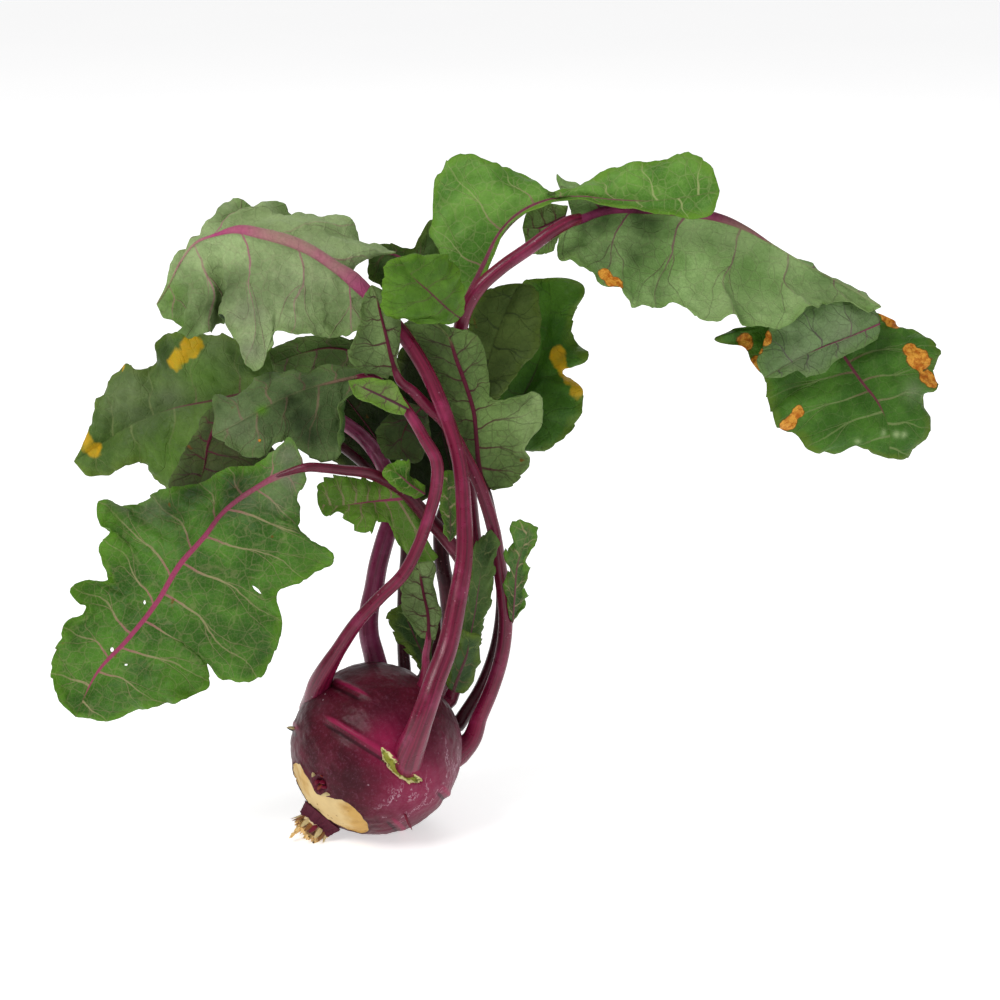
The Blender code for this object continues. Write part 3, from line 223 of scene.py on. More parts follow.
            "upperLight": (106, 138, 62), "vein": (120, 136, 76)},
        "marks": {
            "dark": [(-95, 87, 185, 7, 0.6), (-96, 81, 147, 11, 0.4), (-86, 75, 132, 8, 0.4),
                (-72, 79, 169, 12, 0.4)],
            "grey": [(-110, 87, 165, 14, 0.6), (-71, 81, 189, 10, 0.4), (-93, 85, 168, 10, 0.5)],
            "yellow": [(-90, 83, 182, 4.6, 0.9), (-87, 82, 185, 5, 1), (-83, 82, 188, 5.4, 1),
                (-80, 82, 191, 4, 0.9), (-130, 91, 145, 4.6, 0.9), (-128, 91, 141, 5, 1),
                (-114, 95, 177, 2.5, 0.8)],
            "bright": [(-94, 79, 142, 12, 0.5), (-75, 79, 178, 10, 0.5)]},
        "rib": [(-41, 70, 170), (-57, 76, 170), (-75, 82, 165), (-93, 87, 160), (-111, 90, 152),
            (-126, 92, 142), (-137, 92, 135)],
        "left": [(0, -44, 66, 156), (0.2, -62, 70, 137), (0.38, -79, 74, 128), (0.5, -93, 78, 125),
            (0.6, -102, 82, 132), (0.7, -106, 86, 136), (0.8, -116, 86, 134), (0.9, -125, 88, 130),
            (0.96, -132, 90, 130)],
        "right": [(0, -42, 72, 189), (0.2, -62, 80, 194), (0.38, -80, 86, 194), (0.5, -96, 90, 192),
            (0.58, -101, 92, 178), (0.66, -107, 92, 176), (0.73, -113, 94, 179), (0.8, -120, 94, 171),
            (0.88, -126, 94, 161), (0.95, -130, 93, 146)]},
    "leaf_left_narrow": {
        "face": -1, "bulge": (3, 3), "wave": (1.5, 3, 0), "look": "grey", "veins": 6, "ruffle": 0.8,
        "midrib": (2.2, 0.6, 0.9),
        "own": {"under": (60, 72, 36), "underLight": (84, 94, 50), "underVein": (66, 34, 40)},
        "rib": [(-57, 36, 176), (-65, 36, 169), (-70, 35, 159), (-72, 33, 149), (-76, 30, 138)],
        "left": [(0, -52, 34, 173), (0.22, -47, 30, 161), (0.45, -39, 28, 152), (0.7, -57, 27, 145),
            (0.9, -70, 28, 139)],
        "right": [(0, -61, 38, 177), (0.2, -68, 40, 174), (0.4, -75, 40, 165), (0.6, -80, 38, 156),
            (0.8, -85, 35, 147), (0.93, -87, 32, 139)]},
    "leaf_middle": {
        "face": -1, "bulge": (-2, -3), "wave": (1.8, 4, 0.2), "look": "grey", "veins": 9, "ruffle": 0.9,
        "midrib": (1.5, 0.75, 1),
        "own": {"wander": 0.45},
        "marks": {
            "light": [(65, 17, 172, 9, 0.9), (67, 17, 180, 7, 0.8), (66, 15, 164, 7, 0.7)]},
        "rib": [(45, 18, 144), (43, 18, 154), (42, 18, 165), (41, 17, 176), (38, 16, 187), (34, 14, 199),
            (30, 13, 210), (25, 14, 215)],
        "left": [(0, 43, 19, 145), (0.15, 38, 21, 152), (0.3, 32, 21, 165), (0.45, 27, 20, 179),
            (0.6, 22, 21, 192), (0.75, 16, 24, 203), (0.88, 12, 24, 211), (0.95, 17, 19, 215)],
        "right": [(0, 49, 17, 143), (0.06, 56, 16, 145), (0.12, 61, 15, 151), (0.18, 64, 14, 158),
            (0.24, 63, 14, 163), (0.3, 69, 14, 173), (0.36, 68, 16, 183), (0.42, 58, 17, 183),
            (0.48, 49, 19, 181), (0.56, 48, 19, 190), (0.66, 46, 18, 200), (0.77, 42, 17, 208),
            (0.89, 33, 16, 212)]},
    "leaf_middle_small": {
        "face": -1, "bulge": (-3, 2), "wave": (1.2, 3, 0), "look": "grey", "veins": 4, "ruffle": 0.7,
        "midrib": (1.4, 0.7, 1),
        "own": {"under": (100, 122, 72), "underLight": (128, 154, 94)},
        "rib": [(10, 6, 194), (8, 4, 201), (6, 4, 210), (4, 6, 218), (2, 8, 226), (0, 10, 231)],
        "left": [(0, 1, 0, 197), (0.12, -6, -2, 200), (0.25, -9, -3, 206), (0.4, -7, -2, 211),
            (0.55, -4, 1, 216), (0.7, -4, 4, 221), (0.86, -3, 7, 227)],
        "right": [(0, 11, 8, 195), (0.2, 10, 9, 202), (0.4, 11, 10, 209), (0.6, 12, 10, 216),
            (0.8, 10, 10, 223), (0.92, 5, 11, 228)]},
    "leaflet_top_middle": {
        "face": 1, "bulge": (3, 3), "wave": (1.6, 5, 0.3), "look": "bright", "veins": 5, "ruffle": 1,
        "midrib": (1.3, 0.6, 1),
        "own": {"upper": (70, 112, 30), "upperLight": (102, 148, 48), "vein": (96, 120, 54),
            "rib": (110, 44, 66), "under": (74, 104, 36), "underLight": (100, 136, 52)},
        "rib": [(35, 21, 215), (30, 12, 221), (23, 6, 229), (17, 4, 235), (11, 6, 243)],
        "left": [(0, 33, 19, 214), (0.15, 23, 6, 216), (0.3, 12, 2, 219), (0.45, 6, -1, 222),
            (0.6, 5, 0, 229), (0.75, 5, 2, 235), (0.9, 6, 4, 241)],
        "right": [(0, 37, 22, 218), (0.2, 37, 15, 224), (0.4, 36, 15, 232), (0.55, 34, 14, 237),
            (0.7, 30, 12, 242), (0.85, 20, 8, 244)]},
    "leaflet_top_back": {
        "face": -1, "bulge": (3, -3), "wave": (1.2, 3, 0), "look": "deep", "veins": 4, "ruffle": 0.6,
        "midrib": (2.6, 0.6, 0.95),
        "rib": [(32, 43, 211), (23, 46, 223), (15, 50, 230), (7, 52, 235), (-3, 50, 235)],
        "left": [(0, 28, 42, 210), (0.3, 13, 42, 220), (0.6, 3, 46, 222), (0.85, -3, 48, 227)],
        "right": [(0, 34, 45, 215), (0.2, 27, 50, 233), (0.35, 23, 56, 248), (0.5, 18, 56, 242),
            (0.62, 15, 56, 237), (0.78, 5, 54, 240), (0.9, -1, 52, 238)]},
    "leaflet_pale": {
        "face": 1, "bulge": (-1.5, -1.5), "wave": (0.8, 3, 0), "look": "bright", "veins": 4, "ruffle": 0.6,
        "midrib": (1.2, 0.7, 1), "small": True,
        "own": {"upper": (104, 136, 62), "upperLight": (144, 172, 94), "rib": (98, 50, 70),
            "vein": (112, 92, 76), "net": 0.2},
        "rib": [(14, -4, 183), (8, -7, 187), (1, -9, 191), (-9, -10, 196)],
        "left": [(0, 13, -6, 181), (0.25, 7, -9, 183), (0.5, 0, -11, 187), (0.75, -6, -12, 190)],
        "right": [(0, 15, -3, 183), (0.25, 12, -4, 189), (0.5, 9, -6, 195), (0.75, 0, -9, 197)]},
    "leaflet_toothed": {
        "face": 1, "bulge": (2, 2), "wave": (1.8, 6, 0), "look": "vivid", "veins": 7, "ruffle": 1.4,
        "midrib": (1.2, 0.5, 0.9), "tooth": 2,
        "own": {"upper": (94, 140, 46), "upperLight": (130, 176, 66)},
        "rib": [(12, 11, 141), (4, 12, 140), (-5, 8, 140), (-14, 4, 140), (-23, 3, 141)],
        "left": [(0, 20, 19, 127), (0.06, 24, 17, 114), (0.13, 15, 15, 113), (0.2, 9, 12, 123),
            (0.27, 7, 10, 129), (0.36, 1, 6, 133), (0.42, -1, 2, 130), (0.5, -7, 1, 131),
            (0.6, -11, 1, 135), (0.72, -15, 1, 138), (0.86, -20, 1, 136)],
        "right": [(0, 10, 17, 146), (0.3, 1, 14, 147), (0.6, -11, 9, 151), (0.8, -20, 7, 151),
            (0.92, -23, 5, 146)]},
    "leaflet_yellow": {
        "face": 1, "bulge": (1.5, -1.5), "wave": (0.8, 3, 0), "look": "bright", "veins": 4, "ruffle": 1.4,
        "midrib": (1, 0.6, 1), "small": True, "tooth": 1.2,
        "rib": [(21, 0, 146), (15, -3, 151), (10, -5, 156), (5, -6, 159)],
        "left": [(0, 17, -2, 145), (0.3, 12, -5, 148), (0.6, 7, -7, 153), (0.85, 4, -7, 157)],
        "right": [(0, 21, 2, 149), (0.3, 15, 1, 154), (0.5, 14, -1, 160), (0.75, 8, -3, 160)]},
    "leaflet_low_folded": {
        "face": -1, "bulge": (-2, 2), "wave": (1.2, 3, 0), "look": "grey", "veins": 5, "ruffle": 1.1,
        "midrib": (1.4, 0.7, 1), "small": True, "tooth": 1.2,
        "own": {"under": (108, 130, 78), "underLight": (140, 164, 106)},
        "rib": [(22, -4, 85), (22, -3, 94), (20, 0, 104), (18, 3, 116)],
        "left": [(0, 19, -5, 86), (0.2, 14, -6, 94), (0.4, 11, -4, 102), (0.6, 11, 0, 108),
            (0.8, 14, 3, 113)],
        "right": [(0, 24, -2, 84), (0.25, 27, 0, 91), (0.5, 26, 2, 99), (0.7, 25, 4, 106),
            (0.87, 24, 5, 115)]},
    "leaflet_low_frill": {
        "face": 1, "bulge": (2, 2), "wave": (2, 4, 0), "look": "deep", "veins": 4, "ruffle": 1.8,
        "midrib": (1.2, 0.6, 1), "small": True, "tooth": 1.8,
        # own: darker colours, painted shade for where this leaflet lies in shadow
        "own": {"upper": (44, 68, 32), "upperLight": (66, 92, 44), "rib": (90, 40, 56)},
        "rib": [(22, 5, 68), (17, 8, 79), (13, 10, 88), (9, 12, 94)],
        "left": [(0, 19, 3, 68), (0.2, 13, 4, 77), (0.4, 9, 6, 82), (0.6, 6, 9, 87), (0.85, 6, 11, 92)],
        "right": [(0, 25, 9, 69), (0.3, 21, 13, 81), (0.6, 16, 14, 90), (0.85, 12, 14, 94)]},
    "leaflet_ribbon": {
        "face": 1, "bulge": (2, 2), "wave": (2.2, 4, 0.3), "look": "grey", "veins": 5, "ruffle": 1.8,
        "midrib": (1, 0.5, 0.9), "small": True, "tooth": 1.5,
        "own": {"upper": (56, 84, 40), "upperLight": (80, 108, 54)},
        "rib": [(38, 2, 77), (41, 4, 91), (43, 3, 105), (45, 3, 118), (48, 4, 130)],
        "left": [(0, 35, 2, 80), (0.2, 36, 6, 92), (0.4, 38, 5, 104), (0.6, 40, 5, 116), (0.8, 43, 5, 125)],
        "right": [(0, 44, 4, 80), (0.2, 45, 3, 91), (0.4, 48, 2, 103), (0.6, 49, 2, 115),
            (0.85, 51, 3, 126)]},
    "leaflet_curl": {
        "face": 1, "bulge": (1.5, -1.5), "wave": (2, 4, 0), "look": "vivid", "veins": 5, "ruffle": 2.2,
        "midrib": (1, 0.6, 1), "small": True, "tooth": 2,
        "own": {"upper": (58, 92, 44), "upperLight": (90, 130, 66), "rib": (130, 80, 90)},
        "rib": [(57, 11, 87), (58, 4, 102), (59, 1, 115), (62, 1, 126), (64, 3, 133)],
        "left": [(0, 55, 9, 93), (0.25, 55, 6, 105), (0.5, 55, 5, 116), (0.75, 57, 6, 127),
            (0.9, 60, 5, 133)],
        "right": [(0, 59, 8, 92), (0.25, 63, 1, 103), (0.5, 63, -2, 116), (0.75, 65, -1, 125),
            (0.9, 67, 2, 131)]},
    "leaflet_heart": {
        "face": 1, "bulge": (1.5, 1.5), "wave": (1.2, 3, 0), "look": "deep", "veins": 4, "ruffle": 1.6,
        "midrib": (1.8, 0.6, 0.95), "small": True, "tooth": 1.8,
        # own: darker colours, painted shade for where this leaflet lies in shadow
        "own": {"upper": (46, 72, 34), "upperLight": (70, 98, 50), "rib": (90, 50, 56)},
        "rib": [(32, 2, 60), (35, -2, 70), (38, -4, 79), (39, -4, 88)],
        "left": [(0, 29, 0, 64), (0.3, 31, -3, 75), (0.6, 34, -4, 84), (0.85, 36, -4, 89)],
        "right": [(0, 36, 4, 59), (0.3, 41, 2, 65), (0.6, 43, 0, 77), (0.85, 43, -2, 86)]},
    "leaflet_inner_grey": {
        "face": -1, "bulge": (2, 2), "wave": (1.2, 3, 0), "look": "grey", "veins": 3, "ruffle": 0.6,
        "midrib": (1, 0.6, 1), "small": True,
        # own: very dark colours, painted shade; it fills a shadowed gap inside the plant
        "own": {"under": (52, 68, 34), "underLight": (72, 90, 46)},
        "rib": [(20, 17, 179), (14, 21, 172), (11, 20, 165), (11, 21, 155)],
        "left": [(0, 22, 24, 175), (0.25, 23, 25, 168), (0.5, 22, 25, 159), (0.75, 17, 24, 153)],
        "right": [(0, 15, 20, 179), (0.25, 5, 18, 174), (0.5, 1, 17, 167), (0.75, 4, 18, 157)]},
    "leaf_inner_back": {
        "face": -1, "bulge": (3, 3), "wave": (2, 3, 0.2), "look": "deep", "veins": 4, "ruffle": 0.8,
        "midrib": (1.2, 0.4, 0.9),
        # own: very dark colours, painted shade; it fills a shadowed gap inside the plant
        "own": {"under": (30, 40, 16), "underLight": (48, 60, 26), "underVein": (54, 52, 30)},
        "rib": [(5, 60, 139), (0, 67, 149), (-11, 75, 163), (-24, 79, 178), (-32, 79, 188)],
        "left": [(0, 1, 60, 136), (0.25, -18, 66, 140), (0.5, -24, 76, 151), (0.8, -35, 80, 166)],
        "right": [(0, 9, 61, 143), (0.25, 12, 68, 164), (0.5, 3, 73, 183), (0.8, -15, 76, 193)]},
    "leaflet_under_top": {
        "face": -1, "bulge": (2, -2), "wave": (1.2, 3, 0), "look": "grey", "veins": 4, "ruffle": 0.6,
        "midrib": (1, 0.6, 1), "small": True,
        "own": {"underVein": (120, 96, 84)},
        "rib": [(7, 14, 194), (-6, 17, 201), (-18, 18, 203), (-30, 20, 200), (-42, 22, 195)],
        "left": [(0, 6, 14, 191), (0.3, -9, 16, 193), (0.55, -22, 18, 188), (0.75, -32, 20, 185),
            (0.9, -40, 22, 187)],
        "right": [(0, 8, 15, 197), (0.3, -9, 18, 206), (0.55, -23, 20, 208), (0.75, -35, 23, 205),
            (0.9, -43, 24, 200)]},
    "leaflet_between": {
        "face": 1, "bulge": (1, -1), "wave": (1, 2, 0), "look": "vivid", "veins": 4, "ruffle": 1.2,
        "midrib": (0.8, 0.6, 1), "small": True, "tooth": 1.6,
        "own": {"upper": (54, 82, 34), "upperLight": (78, 112, 50), "rib": (96, 76, 64)},
        "rib": [(31, 9, 123), (31, 7, 134), (30, 9, 144), (30, 12, 153)],
        "left": [(0, 29, 5, 128), (0.35, 27, 6, 137), (0.7, 27, 8, 146), (0.9, 27, 11, 152)],
        "right": [(0, 34, 8, 127), (0.35, 35, 9, 136), (0.7, 35, 11, 146), (0.9, 33, 13, 152)]},
    "leaf_right_fold": {
        "face": -1, "bulge": (2, 3), "wave": (1.4, 3, 0.2), "look": "long", "veins": 4, "ruffle": 1,
        "midrib": (1.2, 0.4, 0.8), "small": True,
        "own": {"underVein": (92, 76, 84), "veinWidth": 0.6, "under": (104, 134, 80),
            "underLight": (128, 156, 104)},
        "marks": {
            "grey": [(196, 52, 202, 7.5, 0.6), (178, 47, 190, 7, 0.5)],
            "dark": [(177, 46, 202, 3, 0.6), (170, 45, 203, 6.5, 0.3)],
            "brown": [(162, 46, 201, 3.4, 1), (160, 46, 196, 3, 0.8)]},
        "rib": [(212, 57, 205), (199, 54, 200), (187, 51, 196), (174, 48, 190), (163, 46, 184)],
        "left": [(0, 212, 58, 198), (0.2, 202, 54, 194), (0.38, 194, 51, 190), (0.52, 187, 48, 185),
            (0.62, 181, 47, 184), (0.74, 177, 47, 187), (0.88, 170, 46, 184)],
        "right": [(0, 209, 56, 212), (0.2, 197, 53, 216), (0.4, 182, 49, 217), (0.6, 169, 47, 210),
            (0.8, 162, 46, 199), (0.93, 160, 46, 190)]},
    "leaf_inner_dark": {
        "face": -1, "bulge": (3, 3), "wave": (2, 3, 0.2), "look": "deep", "veins": 4, "ruffle": 0.8,
        "midrib": (1, 0.4, 0.9),
        # own: very dark colours, painted shade; it fills a shadowed gap inside the plant
        "own": {"under": (22, 30, 12), "underLight": (40, 50, 20), "underVein": (44, 42, 22),
            "underRib": (60, 20, 34)},
        "rib": [(33, 43, 137), (29, 49, 151), (25, 52, 168), (20, 53, 185), (14, 52, 199)],
        "left": [(0, 29, 44, 135), (0.15, 15, 45, 131), (0.3, 10, 49, 143), (0.5, 10, 53, 160),
            (0.75, 8, 54, 179), (0.92, 9, 52, 194)],
        "right": [(0, 35, 44, 141), (0.25, 37, 51, 156), (0.5, 35, 53, 173), (0.75, 29, 52, 193),
            (0.92, 20, 51, 202)]},
}

# Stalks: middle line from bulb to blade, and the radius along it. A foot that isn't flared sinks
# into the bulb along its skin.
stalks = {
    "stalk_left_top": {
        "flared": False,
        "path": [(11.5, -19, 31), (13.2, -27.6, 39.8), (15, -32, 47), (17.5, -35.5, 54.4),
            (19.8, -37.8, 61.7), (22.3, -37.2, 68.8), (25.4, -33.6, 77.3), (30, -26, 88), (34, -19, 105),
            (37, -12, 122), (37, -6, 141), (35, -1, 161), (29, 6, 179), (22, 12, 194), (15, 16, 205),
            (8, 18, 214), (1, 18, 221)],
        "thick": [5.8, 6.7, 6.2, 5.4, 4.8, 4.6, 4.4, 4.3, 4, 3.6, 3.2, 3.1, 3.1, 3.1, 3.1, 3, 2.9]},
    "stalk_left_folded": {
        "flared": False,
        "path": [(-27.5, 8, 50), (-25, 1, 58), (-23.2, -4, 65.5), (-20, -8, 73), (-15, -10, 82),
            (-6, -12, 96), (3, -12, 106), (12, -11, 115), (18, -10, 126), (23, -9, 140), (26, -8, 152),
            (26, -7, 162), (21, -5, 171), (16, -2, 179), (11, 2, 185), (5, 5, 190), (-1, 5, 194)],
        "thick": [5.4, 5.3, 4.7, 4, 3.1, 2.8, 2.6, 2.6, 2.5, 2.5, 2.6, 2.6, 2.4, 2.2, 2.1, 2, 1.9]},
    "stalk_middle_small": {
        "path": [(33, 8, 30), (39, 9, 35), (43, 11, 45), (48, 12, 57), (52, 13, 70), (54, 13, 85),
            (53, 12, 101), (51, 11, 115), (49, 10, 128), (46, 10, 139), (42, 10, 150), (38, 11, 158),
            (33, 13, 167), (28, 13, 174), (22, 12, 180), (16, 10, 187), (11, 7, 192)],
        "thick": [6.2, 4.2, 3.4, 3.2, 3.1, 3, 3, 2.9, 2.8, 2.7, 2.6, 2.5, 2.5, 2.4, 2.3, 2.1, 1.9]},
    "stalk_left_back": {
        "look": "lilac",
        "path": [(0, 22, 60), (-2, 25, 68), (-4, 27, 76), (-4, 29, 86), (-2, 30, 95), (0, 31, 106),
            (3, 32, 117), (6, 35, 127), (6, 40, 137), (2, 46, 146), (-6, 54, 155), (-19, 61, 163),
            (-31, 67, 168), (-39, 70, 170)],
        "thick": [5, 4.5, 4.3, 4.2, 4.2, 4.1, 4, 3.8, 3.6, 3.4, 3.2, 3, 2.7, 2.4]},
    "stalk_right_back": {
        "look": "dark",
        "path": [(24, 22, 59), (29, 28, 69), (30, 30, 83), (29, 31, 96), (27, 33, 108), (27, 42, 122),
            (32, 53, 132), (40, 64, 142), (48, 71, 149)],
        "thick": [3.8, 3.6, 3.5, 3.4, 3.3, 3.2, 3, 2.7, 2.3]},
    "stalk_left_front": {
        "look": "shade",
        "path": [(25, 10, 57), (33, 10, 73), (38, 12, 88), (40, 14, 100), (36, 14, 113), (30, 14, 122),
            (24, 12, 130), (18, 9, 138), (12, 5, 146), (5, 0, 152), (-3, -6, 157), (-11, -10, 159),
            (-19, -14, 161), (-26, -17, 162)],
        "thick": [3.8, 3.4, 3.2, 3.1, 3.1, 3.1, 3, 2.9, 2.7, 2.5, 2.3, 2.1, 2, 1.9]},
    "stalk_right_long": {
        "path": [(30, 22, 49), (36, 24, 68), (41, 25, 87), (42, 25, 106), (40, 26, 127), (38, 29, 148),
            (37, 30, 170), (35, 28, 192), (35, 27, 207), (38, 27, 218), (43, 27, 226), (52, 29, 234),
            (64, 32, 242), (74, 34, 249), (80, 36, 252)],
        "thick": [3.8, 3.5, 3.3, 3.2, 3.1, 3, 3, 3, 3, 3, 2.9, 2.8, 2.8, 2.7, 2.6]},
    "stalk_top": {
        "look": "dark",
        "path": [(19, 28, 57), (24, 38, 70), (31, 39, 88), (35, 38, 108), (35, 38, 133), (33, 38, 155),
            (31, 37, 177), (30, 37, 194), (34, 36, 208)],
        "thick": [2.4, 2.2, 2, 1.9, 1.9, 1.8, 1.8, 1.7, 1.6]},
    "stalk_middle": {
        "look": "dark",
        "path": [(34, 18, 39), (43, 22, 53), (49, 22, 69), (52, 21, 87), (52, 20, 105), (50, 19, 121),
            (48, 18, 133), (46, 18, 142)],
        "thick": [3.2, 2.8, 2.6, 2.4, 2.3, 2.2, 2.1, 2]},
    "stalk_left_narrow": {
        "look": "dark",
        "path": [(11, 30, 57), (10, 36, 71), (10, 42, 91), (11, 46, 113), (7, 52, 129), (-4, 52, 142),
            (-20, 46, 157), (-39, 40, 169), (-55, 36, 176)],
        "thick": [2.8, 2.5, 2.3, 2.2, 2.1, 2, 1.9, 1.7, 1.5]},
    "rib_right_end": {
        "look": "lilac", "flared": False,
        "path": [(86, 47, 246), (96, 50, 244), (113, 52, 242), (135, 54, 239), (155, 56, 231),
            (172, 60, 219), (183, 64, 207), (187, 66, 204)],
        "thick": [2.2, 2.1, 2, 1.9, 1.8, 1.7, 1.6, 1.5]},
    "stalk_low_folded": {
        "path": [(20, -5, 66), (21, -5, 73), (21, -4, 78), (22, -4, 84)],
        "thick": [2.2, 1.8, 1.6, 1.4]},
}

# colours for the upper and the under face, the veins and the margin
leafLooks = {
    "vivid": {"upper": (54, 98, 28), "upperLight": (88, 140, 46), "under": (104, 134, 80),
        "underLight": (138, 164, 106), "rib": (170, 68, 108), "vein": (168, 158, 116),
        "underRib": (166, 70, 118), "underVein": (140, 122, 100), "margin": (104, 156, 36), "through": 0.2,
        "veinWidth": 0.9, "net": 0.22, "fine": 0.14, "wander": 0.2},
    "bright": {"upper": (66, 116, 30), "upperLight": (100, 152, 52), "under": (112, 142, 78),
        "underLight": (142, 170, 104), "rib": (150, 74, 100), "vein": (150, 170, 96),
        "underRib": (124, 40, 78), "underVein": (100, 74, 62), "margin": (116, 164, 42), "through": 0.26,
        "veinWidth": 0.75, "net": 0.3, "fine": 0.14, "wander": 0.2},
    "silver": {"upper": (60, 104, 34), "upperLight": (92, 140, 54), "under": (124, 148, 94),
        "underLight": (166, 190, 132), "rib": (150, 74, 100), "vein": (150, 170, 96),
        "underRib": (186, 70, 128), "underVein": (176, 116, 132), "margin": (120, 158, 72), "through": 0.16,
        "veinWidth": 0.9, "net": 0.1, "fine": 0.12, "wander": 0.16},
    "long": {"upper": (60, 104, 34), "upperLight": (92, 140, 54), "under": (120, 158, 86),
        "underLight": (154, 188, 118), "rib": (150, 74, 100), "vein": (150, 170, 96),
        "underRib": (146, 46, 96), "underVein": (128, 84, 96), "margin": (110, 148, 60), "through": 0.16,
        "veinWidth": 0.8, "net": 0.16, "fine": 0.14, "wander": 0.2},
    "grey": {"upper": (50, 84, 36), "upperLight": (76, 112, 50), "under": (92, 116, 62),
        "underLight": (122, 152, 84), "rib": (116, 60, 84), "vein": (112, 126, 76),
        "underRib": (96, 26, 50), "underVein": (70, 36, 44), "margin": (100, 128, 60), "through": 0.16,
        "veinWidth": 0.75, "net": 0.3, "fine": 0.2, "wander": 0.3},
    "deep": {"upper": (54, 98, 24), "upperLight": (80, 126, 38), "under": (56, 80, 32),
        "underLight": (82, 108, 50), "rib": (118, 56, 70), "vein": (94, 116, 58), "underRib": (118, 50, 74),
        "underVein": (92, 84, 56), "margin": (104, 128, 34), "through": 0.16, "veinWidth": 0.9, "net": 0.14,
        "fine": 0.1, "wander": 0.2},
}
# what the soft patches and dry spots are painted with; dark is painted shade, light painted light, grey a
# grey-green tint that is partly a painted sheen
markTones = {"dark": (100, 112, 86), "light": (168, 192, 132), "grey": (136, 142, 116),
             "bright": (92, 140, 34), "dust": (150, 150, 120), "glow": (110, 160, 30),
             "yellow": (224, 164, 16), "olive": (170, 160, 36), "singed": (120, 66, 18),
             "dry": (190, 104, 22), "dryPale": (240, 172, 66)}
# in mm: half thickness, mesh cell, saw teeth, rise of the panels and how far they take to rise, how far
# side veins and ribs stand out (ribs: in half breadths), coarse and fine crinkle, length of an edge frill
blade = {"half": 0.3, "cell": 1.5, "toothLength": 6.0, "tooth": 0.9, "quilt": 0.7, "panel": 2.6,
         "veinRidge": 0.35, "ribRidge": 1.15, "crinkle": 0.55, "fineCrinkle": 0.3, "frillLength": 2.7}


def unitVec(v):
    return v / np.maximum(np.linalg.norm(v, axis=-1, keepdims=True), 1e-9)


growth = unitVec(bulbShape["growth"])
facing = unitVec(bulbShape["facing"] - growth * (bulbShape["facing"] @ growth))
across = np.cross(growth, facing)


def through(knots, points, at):                    # smooth curve through points
    k = np.asarray(knots, float)
    p = np.asarray(points, float)
    h = np.diff(k)
    d = np.diff(p, axis=0) / h[:, None]
    m = np.empty_like(p)
    m[0] = d[0]
    m[-1] = d[-1]
    m[1:-1] = (d[:-1] * h[1:, None] + d[1:] * h[:-1, None]) / (h[1:] + h[:-1])[:, None]
    i = np.clip(np.searchsorted(k, at, side="right") - 1, 0, len(k) - 2)
    t = ((at - k[i]) / h[i])[:, None]
    g = h[i][:, None]
    return ((2 * t ** 3 - 3 * t ** 2 + 1) * p[i] + (t ** 3 - 2 * t ** 2 + t) * g * m[i]
            + (3 * t ** 2 - 2 * t ** 3) * p[i + 1] + (t ** 3 - t ** 2) * g * m[i + 1])


def lengthAlong(p):                                # running length of a line of points
    return np.concatenate([[0.0], np.cumsum(np.linalg.norm(np.diff(p, axis=0), axis=1))])


def chordKnots(points):
    s = lengthAlong(np.asarray(points, float))
    return s / s[-1], s[-1]


def smoothStep(lo, hi, x):
    t = np.clip((x - lo) / (hi - lo), 0.0, 1.0)
    return t * t * (3 - 2 * t)


def ripple(p, size, seed):                         # soft noise of about -1 to 1 from a few plane waves
    rng = np.random.default_rng(seed)
    total = np.zeros(len(p))
    for _ in range(7):
        way = unitVec(rng.normal(size=3)) * (2 * math.pi / size) * rng.uniform(0.6, 1.5)
        total += np.sin(p @ way + rng.uniform(0, 6.28))
    return total / 3.2


def newObject(name, data):
    obj = bpy.data.objects.new(name, data)
    bpy.context.scene.collection.objects.link(obj)
    return obj


def meshObject(name, pts, faces, mats, picks=None):
    mesh = bpy.data.meshes.new(name)
    mesh.from_pydata((np.asarray(pts, float) * mm).tolist(), [], faces)
    for mat in mats:
        mesh.materials.append(mat)
    if picks is not None:
        mesh.polygons.foreach_set("material_index", picks)
    mesh.polygons.foreach_set("use_smooth", [True] * len(mesh.polygons))
    mesh.update()
    return newObject(name, mesh)


def addVectors(obj, name, *parts):                 # up to three numbers a point, as one vector
    columns = np.zeros((len(parts[0]), 3), np.float32)
    for spot, part in enumerate(parts):
        columns[:, spot] = part
    layer = obj.data.attributes.new(name, "FLOAT_VECTOR", "POINT")
    layer.data.foreach_set("vector", columns.ravel())


def ringFaces(rows, sides, first, start, end):     # quads between rings, and fans to the two end points
    idx = first + np.arange(rows * sides).reshape(rows, sides)
    nxt = np.roll(idx, -1, axis=1)
    faces = np.stack([idx[:-1], idx[1:], nxt[1:], nxt[:-1]], axis=-1).reshape(-1, 4).tolist()
    faces += [(start, int(a), int(b)) for a, b in zip(idx[0], nxt[0])]
    faces += [(int(a), end, int(b)) for a, b in zip(idx[-1], nxt[-1])]
    return faces


def tone(r, g, b):                                 # screen colour, 0 to 255, as a linear one
    def lin(c):
        c = c / 255.0
        return c / 12.92 if c <= 0.04045 else ((c + 0.055) / 1.055) ** 2.4
    return (lin(r), lin(g), lin(b), 1.0)


def put(tree, socket, value):                      # link a value to a socket, or set it there
    if isinstance(value, Flow):
        value = value.socket
    if isinstance(value, bpy.types.NodeSocket):
        tree.links.new(value, socket)
    else:
        socket.default_value = value


def addNode(tree, kind, setup=None, **wires):      # a node, with inputs linked or set by name
    node = tree.nodes.new(kind)
    for label, value in (setup or {}).items():
        setattr(node, label, value)
    for label, value in wires.items():
        put(tree, node.inputs[label.replace("_", " ")], value)
    return node


